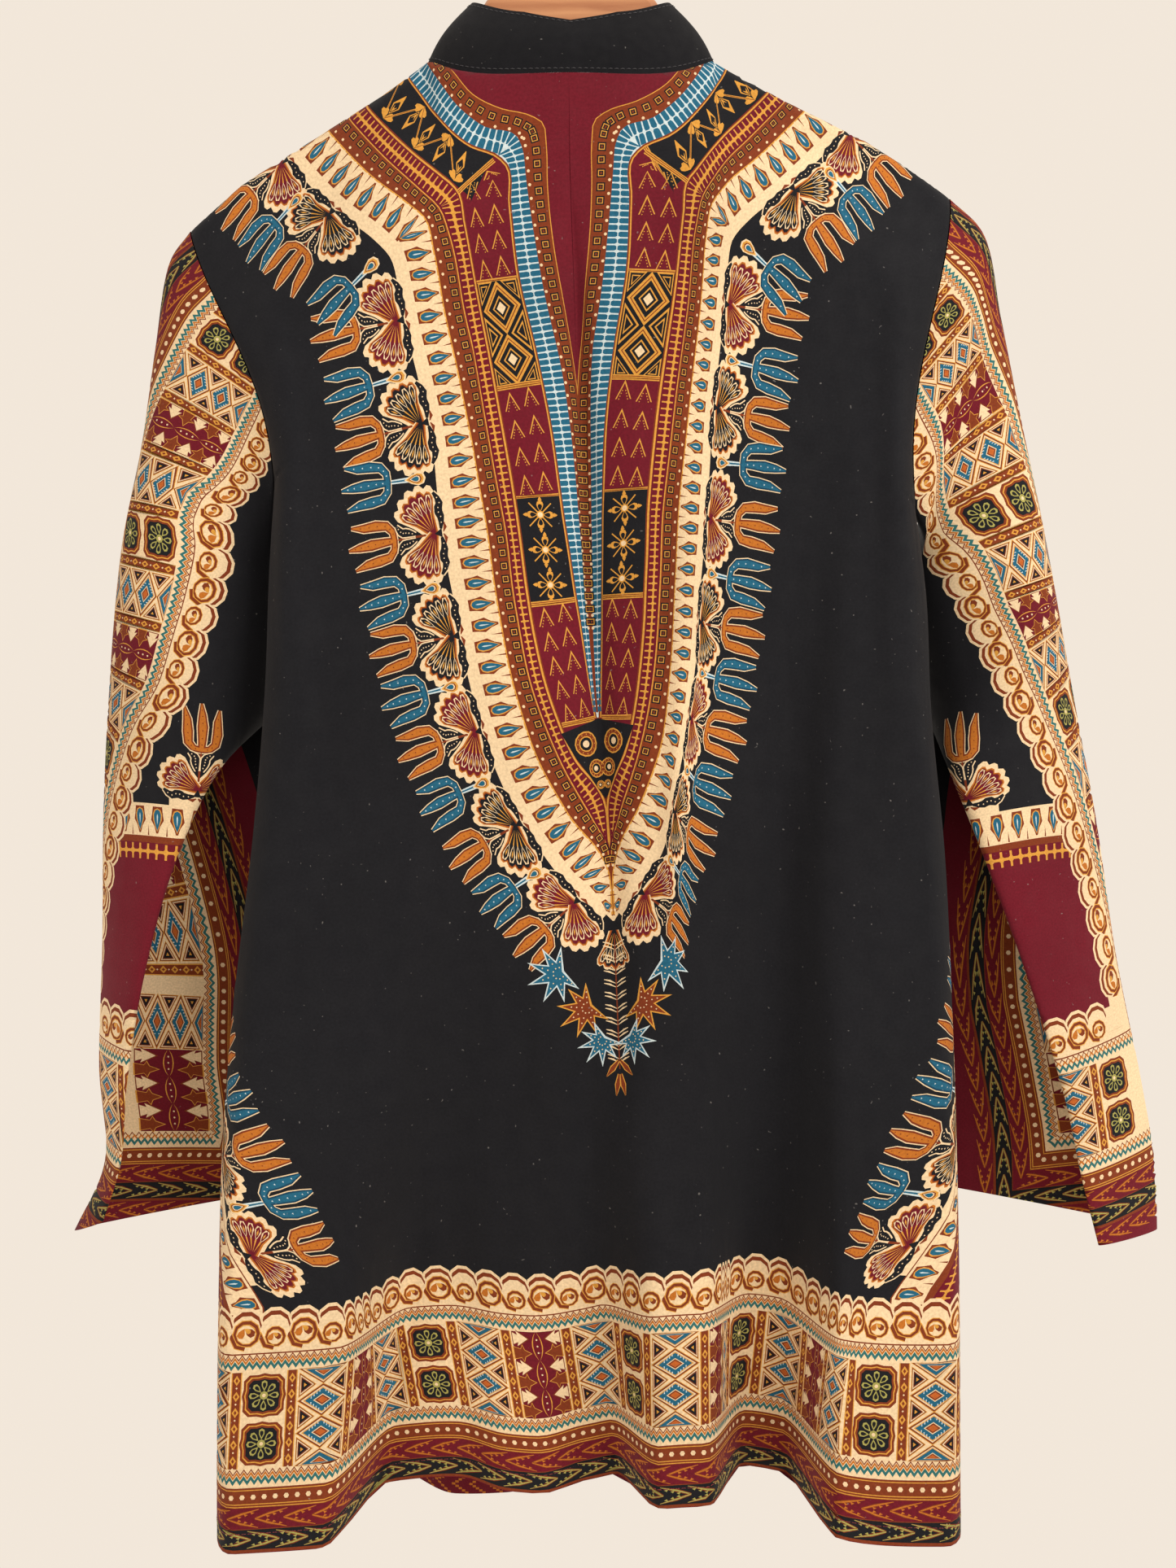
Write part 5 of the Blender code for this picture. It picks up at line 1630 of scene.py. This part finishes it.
def panel_print():
    """The print of the back, or of the front, which is printed alike."""
    sheet = Print(sides=(1, -1))
    draw_plastron(sheet)
    draw_medallion(sheet, (MEDALLION_OUT, BORDER_TOP + 16.0), MEDALLION_WIDE, MEDALLION_TALL,
                   (45.0, 97.0, 149.0, 201.0), (71.0, 123.0, 175.0))
    sheet.sides = (1,)
    hem = Band([(HEM_REACH, BORDER_TOP), (-HEM_REACH, BORDER_TOP)])
    draw_border(sheet, hem, 0.0, 2 * HEM_REACH, HEM_REACH + HEM_FIRST_BLOCK)
    return sheet.shapes


def sleeve_print(left):
    """A sleeve's print: the border down its outside and round its cuff, and the top of a medallion."""
    sheet = Print()
    table = SLEEVE_PRINTS["left" if left else "right"]
    base = smooth_line(table.border)
    corner = base[-1]
    dome_places = np.arange(DOME_START, 0, EDGE_STEP)
    dome = Band([(u, table.dome_down + ((u - table.dome_u) / 26.0) ** 2) for u in dome_places])
    draw_garland(sheet, Band(moved(dome.points, 33.0), 0.9), [table.dome_u - DOME_START], (), 50.0)
    foot = [(0.0, corner[1] + 20), (DOME_START, corner[1] + 20)]
    for low, ink in ((33.0, "cream"), (14.0, "brown"), (10.0, "burgundy")):
        sheet.fill(np.concatenate([moved(dome.points, low), foot]), ink)
    draw_drops(sheet, Band(moved(dome.points, 14.0), 19.0), DROP_PITCH)
    sheet.strip(dome, 0.0, dome.length, 0.5, 9.5, "gold")
    draw_comb(sheet, Band(dome.points, 10.0), COMB_PITCH * 1.5, "burgundy", 0.42)
    places, wides = np.transpose(table.long_wide)
    widths = np.interp(base[:, 1], places, wides)
    downs, marks, slants = np.transpose(table.rows)
    slants = np.radians(np.interp(base[:, 1], downs, slants))
    outs = np.stack([np.cos(slants), -np.sin(slants)], axis=1)
    long_leg = Band(base, widths, outs, np.interp(base[:, 1], downs, marks))
    last_wide = widths[-1]
    cuff_leg = Band([corner, corner - (CUFF_REACH, 0)], table.cuff_wide)
    low, high = BLOCK_ROWS
    draw_border(sheet, cuff_leg, 0.0, CUFF_REACH, table.cuff_first, slant_start=last_wide)
    draw_border(sheet, long_leg, 0.0, long_leg.length, table.long_first, slant_end=table.cuff_wide)
    draw_cross_block(sheet, long_leg, long_leg.length, long_leg.length + low * table.cuff_wide)
    draw_tooth_block(sheet, cuff_leg, -high * last_wide, -low * last_wide)
    return sheet.shapes


def build_studio():
    """The camera at the photograph's place, soft lights and a plain pale floor."""
    scene = bpy.context.scene
    camera_data = bpy.data.cameras.new("camera")
    camera_data.sensor_width = SENSOR
    camera_data.lens = SENSOR / 2 / CAMERA_HALF_HEIGHT
    camera_data.clip_start = 0.01
    camera = bpy.data.objects.new("camera", camera_data)
    camera.location = CAMERA_PLACE
    camera.rotation_euler = (pi / 2, 0, 0)
    scene.collection.objects.link(camera)
    scene.camera = camera

    world = bpy.data.worlds.new("studio")
    world.use_nodes = True
    background = world.node_tree.nodes["Background"]
    background.inputs["Color"].default_value = (*BACKGROUND, 1)
    background.inputs["Strength"].default_value = WORLD_STRENGTH
    scene.world = world

    for lamp in LAMPS:
        light = bpy.data.lights.new(lamp.name, "AREA")
        light.shape = "RECTANGLE"
        light.size, light.size_y = lamp.size
        light.energy = lamp.power
        light.color = lamp.colour
        holder = bpy.data.objects.new(lamp.name, light)
        holder.location = lamp.place
        aim = Vector(LIGHT_AIM) - Vector(lamp.place)
        holder.rotation_euler = aim.to_track_quat("-Z", "Y").to_euler()
        scene.collection.objects.link(holder)

    bpy.ops.mesh.primitive_plane_add(size=FLOOR_SIZE, location=(0, 0, FLOOR_Z))
    floor = bpy.context.object
    floor.name = "floor"
    floor.data.materials.append(plain_material("floor", BACKGROUND, FLOOR_ROUGHNESS))
    scene.view_settings.view_transform = "Standard"
    scene.view_settings.look = "None"


def plain_material(name, colour, roughness):
    material = bpy.data.materials.new(name)
    material.use_nodes = True
    shader = material.node_tree.nodes["Principled BSDF"]
    shader.inputs["Base Color"].default_value = (*colour, 1)
    shader.inputs["Roughness"].default_value = roughness
    return material


class Tree:
    """A material's nodes, made and joined in short lines."""

    def __init__(self, name):
        self.material = bpy.data.materials.new(name)
        self.material.use_nodes = True
        self.nodes = self.material.node_tree.nodes
        self.links = self.material.node_tree.links
        self.shader = self.nodes["Principled BSDF"]

    def add(self, kind, operation=None, **inputs):
        """A node with its inputs: a number, a colour, or another node's output."""
        node = self.nodes.new("ShaderNode" + kind)
        if operation:
            node.operation = operation
        for name, value in inputs.items():
            name = name.replace("_", " ")
            socket = node.inputs[int(name[1:])] if name[1:].isdigit() else node.inputs[name]
            if isinstance(value, bpy.types.NodeSocket):
                self.links.new(value, socket)
            else:
                socket.default_value = value
        return node

    def noise(self, place, scale, detail=2.0, distortion=0.0):
        node = self.add("TexNoise", Vector=place, Scale=scale, Detail=detail, Distortion=distortion)
        return node.outputs["Fac"]

    def spread(self, value, low, high, to_low, to_high):
        """Maps a value from one range to another, and keeps it there."""
        node = self.add("MapRange", Value=value, From_Min=low, From_Max=high, To_Min=to_low, To_Max=to_high)
        return node.outputs["Result"]

    def math(self, operation, one, other):
        return self.add("Math", operation, i0=one, i1=other).outputs["Value"]

    def mix(self, share, one, other, blend="MIX"):
        node = self.nodes.new("ShaderNodeMixRGB")
        node.blend_type = blend
        for name, value in (("Fac", share), ("Color1", one), ("Color2", other)):
            if isinstance(value, bpy.types.NodeSocket):
                self.links.new(value, node.inputs[name])
            else:
                node.inputs[name].default_value = value
        return node.outputs["Color"]

    def wave(self, place, scale, direction, distortion=0.0):
        node = self.add("TexWave", Vector=place, Scale=scale, Distortion=distortion)
        node.bands_direction = direction
        return node.outputs["Fac"]

    def bump(self, height, strength, distance, before=None):
        node = self.add("Bump", Height=height, Strength=strength, Distance=distance)
        if before is not None:
            self.links.new(before, node.inputs["Normal"])
        return node.outputs["Normal"]

    def to(self, name, value):
        self.links.new(value, self.shader.inputs[name])


def cotton_material(name, colour=None):
    """Cotton: inks that faded a little unevenly, threads both ways, soft wrinkles, and pale lint on it."""
    tree = Tree(name)
    coordinates = tree.nodes.new("ShaderNodeTexCoord")
    place = coordinates.outputs["UV"]
    room = coordinates.outputs["Object"]
    if colour is None:
        ink = tree.nodes.new("ShaderNodeAttribute")
        ink.attribute_name = "ink"
        dye = ink.outputs["Color"]
    else:
        dye = tree.mix(tree.noise(place, 7.0), (*colour, 1), (*[1.6 * part for part in colour], 1))
    blotches = tree.spread(tree.noise(room, 9.0, 4.0), 0.3, 0.7, 0.87, 1.06)
    slubs = tree.spread(tree.noise(place, 520.0, 2.0), 0.3, 0.7, 0.86, 1.12)
    shade = tree.math("MULTIPLY", blotches, slubs)
    dyed = tree.mix(1.0, dye, shade, "MULTIPLY")
    lint = tree.spread(tree.noise(room, 560.0, 0.0), 0.83, 0.89, 0.0, 0.26)
    tree.to("Base Color", tree.mix(lint, dyed, (*LINT, 1)))
    tree.to("Roughness", tree.spread(tree.noise(place, 60.0), 0.3, 0.7, 0.78, 0.92))
    tree.shader.inputs["Specular IOR Level"].default_value = SPECULAR
    tree.shader.inputs["Sheen Weight"].default_value = SHEEN
    threads = tree.math("MULTIPLY", tree.wave(place, THREADS, "X", 0.4), tree.wave(place, THREADS, "Y", 0.4))
    weave = tree.bump(threads, 0.22, 0.0003)
    stretched = tree.add("Mapping", Vector=room, Scale=(17.0, 17.0, 5.0)).outputs["Vector"]
    wrinkles = tree.bump(tree.noise(stretched, 1.0, 3.0, 0.4), 0.34, 0.012, weave)
    tree.to("Normal", wrinkles)
    return tree.material


def wood_material():
    """Pale reddish varnished wood with fine grain along the hanger's arms."""
    tree = Tree("varnished_wood")
    room = tree.nodes.new("ShaderNodeTexCoord").outputs["Object"]
    grain_place = tree.add("Mapping", Vector=room, Scale=(9.0, 60.0, 150.0)).outputs["Vector"]
    grain = tree.noise(grain_place, 1.6, 5.0, 0.8)
    ring_place = tree.add("Mapping", Vector=room, Scale=(0.6, 2.0, 6.0)).outputs["Vector"]
    rings = tree.wave(ring_place, 6.0, "Z", 3.0)
    streaks = tree.spread(tree.math("ADD", grain, tree.math("MULTIPLY", rings, 0.35)), 0.35, 0.95, 0.0, 1.0)
    tree.to("Base Color", tree.mix(streaks, (*WOOD_PALE, 1), (*WOOD_DARK, 1)))
    tree.to("Roughness", tree.spread(grain, 0.3, 0.7, 0.34, 0.50))
    tree.to("Normal", tree.bump(grain, 0.25, 0.0004))
    tree.shader.inputs["Coat Weight"].default_value = 0.25
    tree.shader.inputs["Coat Roughness"].default_value = 0.25
    return tree.material


def wire_material():
    """Bright steel wire with fine drawing marks."""
    tree = Tree("steel_wire")
    room = tree.nodes.new("ShaderNodeTexCoord").outputs["Object"]
    smudges = tree.noise(room, 120.0, 3.0)
    marks = tree.noise(room, 1500.0, 2.0)
    tree.to("Base Color", tree.mix(smudges, (*WIRE_DULL, 1), (*WIRE_BRIGHT, 1)))
    tree.to("Roughness", tree.spread(tree.math("ADD", smudges, marks), 0.7, 1.3, 0.18, 0.38))
    tree.to("Normal", tree.bump(marks, 0.12, 0.0001))
    tree.shader.inputs["Metallic"].default_value = 1.0
    return tree.material


def thread_material(name, colour):
    """Sewing thread: twisted, with painted shade in the twist's grooves, and a soft sheen."""
    tree = Tree(name)
    room = tree.nodes.new("ShaderNodeTexCoord").outputs["Object"]
    twist_groove_shade = tree.wave(room, 900.0, "X", 2.0)
    # painted shade: the thread's colour is darker where the twist's bump is low, in its grooves
    tree.to("Base Color", tree.mix(twist_groove_shade, (*[0.7 * part for part in colour], 1), (*colour, 1)))
    tree.to("Roughness", tree.spread(tree.noise(room, 400.0), 0.3, 0.7, 0.5, 0.7))
    tree.to("Normal", tree.bump(twist_groove_shade, 0.3, 0.0002))
    return tree.material


def stitches(name, lines, material):
    """A row of stitches along each line of (point, outward normal) pairs, all one piece."""
    verts = []
    faces = []
    sides = STITCH_SIDES
    ring_turns = np.arange(sides) * 2 * pi / sides
    for points, normals in lines:
        points = np.asarray(points)
        marks = np.concatenate([[0.0], np.cumsum(np.linalg.norm(np.diff(points, axis=0), axis=1))])
        for start in np.arange(STITCH_START, marks[-1] - STITCH_LENGTH, STITCH_LENGTH + STITCH_GAP):
            at = [start, start + STITCH_LENGTH / 2, start + STITCH_LENGTH]
            spots = np.stack([np.interp(at, marks, points[:, k]) for k in range(3)], axis=1)
            lifts = np.stack([np.interp(at, marks, normals[:, k]) for k in range(3)], axis=1)
            ahead = (spots[2] - spots[0]) / np.linalg.norm(spots[2] - spots[0])
            side = np.cross(ahead, lifts[1])
            base = len(verts)
            for place, section in zip(spots, STITCH_SECTIONS):
                for turn in ring_turns:
                    out = side * cos(turn) + lifts[1] * sin(turn)
                    verts.append(place + lifts[1] * section.lift + out * STITCH_RADIUS * section.thickness)
            for row in (base, base + sides):
                for k in range(sides):
                    after = (k + 1) % sides
                    faces.append((row + k, row + after, row + sides + after, row + sides + k))
            faces.append(tuple(base + k for k in reversed(range(sides))))
            faces.append(tuple(base + 2 * sides + k for k in range(sides)))
    mesh = bpy.data.meshes.new(name)
    mesh.from_pydata([tuple(vert) for vert in verts], [], faces)
    mesh.shade_smooth()
    obj = bpy.data.objects.new(name, mesh)
    bpy.context.scene.collection.objects.link(obj)
    obj.data.materials.append(material)
    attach(obj, "root")
    return obj


def line_on(cloth, columns, rows, outward):
    """Points and outward normals along a line on a cloth, given by its surface's two parameters."""
    columns, rows = np.broadcast_arrays(np.asarray(columns, float), np.asarray(rows, float))
    points = cloth.surface(columns[None, :], rows[None, :])[0]
    beside = cloth.surface(columns[None, :], rows[None, :] - SLOPE_STEP)[0] - points
    sideways = cloth.surface(columns[None, :] - SLOPE_STEP, rows[None, :])[0] - points
    normals = np.cross(beside, sideways)
    normals /= np.maximum(np.linalg.norm(normals, axis=1, keepdims=True), 1e-12)
    return points, normals * outward


def turned_hem(cloth, name, cotton, inward):
    """The turned-up hem inside a panel: burgundy with a row of chevrons, and a dotted selvedge."""
    across = np.linspace(*HEM_STRIP_ENDS, HEM_STRIP_COLUMNS + 1)
    edges = np.linspace(2 - HEM_TURN, HEM_STRIP_EDGE, HEM_STRIP_ROWS + 1)
    points = cloth.surface(across[None, :] + 0 * edges[:, None], edges[:, None] + 0 * across[None, :])
    normals = grid_normals(points)
    obj = grid_mesh(name, points + normals * inward * HEM_LIFT, flipped=inward < 0)
    row, place = np.divmod(np.arange(HEM_STRIP_ROWS * HEM_STRIP_COLUMNS), HEM_STRIP_COLUMNS)
    reach = np.abs(row - HEM_STRIP_ROWS / 2)
    chevron = (place - HEM_CHEVRON_WIDTH * reach.astype(int)) % HEM_CHEVRON_PITCH < HEM_CHEVRON_WIDTH
    inks = np.where(chevron & (row > 1), "amber", "burgundy")
    inks = np.where(row == 0, np.where(place % 4 < 2, "cream", "brown"), inks)
    colours = np.array([(*INKS[ink], 1.0) for ink in inks])
    layer = obj.data.attributes.new("ink", "FLOAT_COLOR", "CORNER")
    layer.data.foreach_set("color", np.repeat(colours, 4, axis=0).ravel())
    obj.data.materials.append(cotton)
    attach(obj, "root")
    return obj


def front_slit(front):
    """The slit down the centre front, as a narrow outline on the flat cloth."""
    middle = int(np.argmin(np.abs(front.columns - 0.5)))
    open_rows = front.points[:, middle, 2] > FRONT_SLIT_BOTTOM_Z
    line = front.places[: int(open_rows.sum()), middle][::4]
    line[0] -= (0.0, 0.01)
    half = np.array((FRONT_SLIT_HALF, 0.0))
    return np.concatenate([line - half, (line + half)[::-1]])


def main():
    build_studio()
    cotton = cotton_material("printed_cotton")
    back = panel_cloth(True)
    front = panel_cloth(False)
    sleeves = [sleeve_cloth(True), sleeve_cloth(False)]
    shapes = panel_print()
    sheets = [
        make_sheet(back, shapes, "black", SHEET_COLUMNS, SHEET_ROWS, 1),
        make_sheet(front, shapes, "black", SHEET_COLUMNS, SHEET_ROWS, -1, front_slit(front)),
        make_sheet(sleeves[0], sleeve_print(True), "black", SLEEVE_SHEET_COLUMNS, SLEEVE_SHEET_ROWS, -1),
        make_sheet(sleeves[1], sleeve_print(False), "black", SLEEVE_SHEET_COLUMNS, SLEEVE_SHEET_ROWS, 1),
    ]
    for sheet in sheets:
        sheet.data.materials.append(cotton)
        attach(sheet, "root")
        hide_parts(sheet.name.removesuffix("_sheet"))
        "cloth_sleeves" if "sleeve" in sheet.name else "cloth_body"
    points, turns = collar_sheet()
    collar = grid_mesh("collar_sheet", points, flipped=True)
    collar.data.materials.append(cotton_material("black_cotton", COLLAR_DYE))
    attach(collar, "root")
    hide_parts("collar")

    dark = thread_material("black_thread", DARK_THREAD)
    red = thread_material("burgundy_thread", RED_THREAD)
    hems = [turned_hem(back, "back_hem", cotton, -1), turned_hem(front, "front_hem", cotton, 1)]
    across = np.linspace(*HEM_STITCH_ENDS, HEM_STITCH_POINTS)
    hem_stitch_edge = 2 - HEM_TURN * HEM_STITCH_SHARE
    hem_lines = [line_on(back, across, hem_stitch_edge, BACK_OUT)]
    hem_lines.append(line_on(front, across, hem_stitch_edge, -BACK_OUT))
    body_thread = stitches("hem_stitches", hem_lines, red)
    outs = np.stack([np.sin(turns), np.cos(turns), 0 * turns], axis=1)
    collar_lines = []
    for up in COLLAR_STITCH_UPS:
        collar_lines.append((collar_surface(turns, np.full_like(turns, up)), outs))
    collar_thread = stitches("collar_stitches", collar_lines, dark)

    for number, (flat, area) in enumerate(CUTS):
        parts = {0: [hems[0], body_thread], 1: [hems[1]]}.get(number, [])
        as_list(parts)

    for name, material in (("hanger", wood_material()), ("hanger_hook", wire_material())):
        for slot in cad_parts[name].material_slots:
            slot.material = material


main()
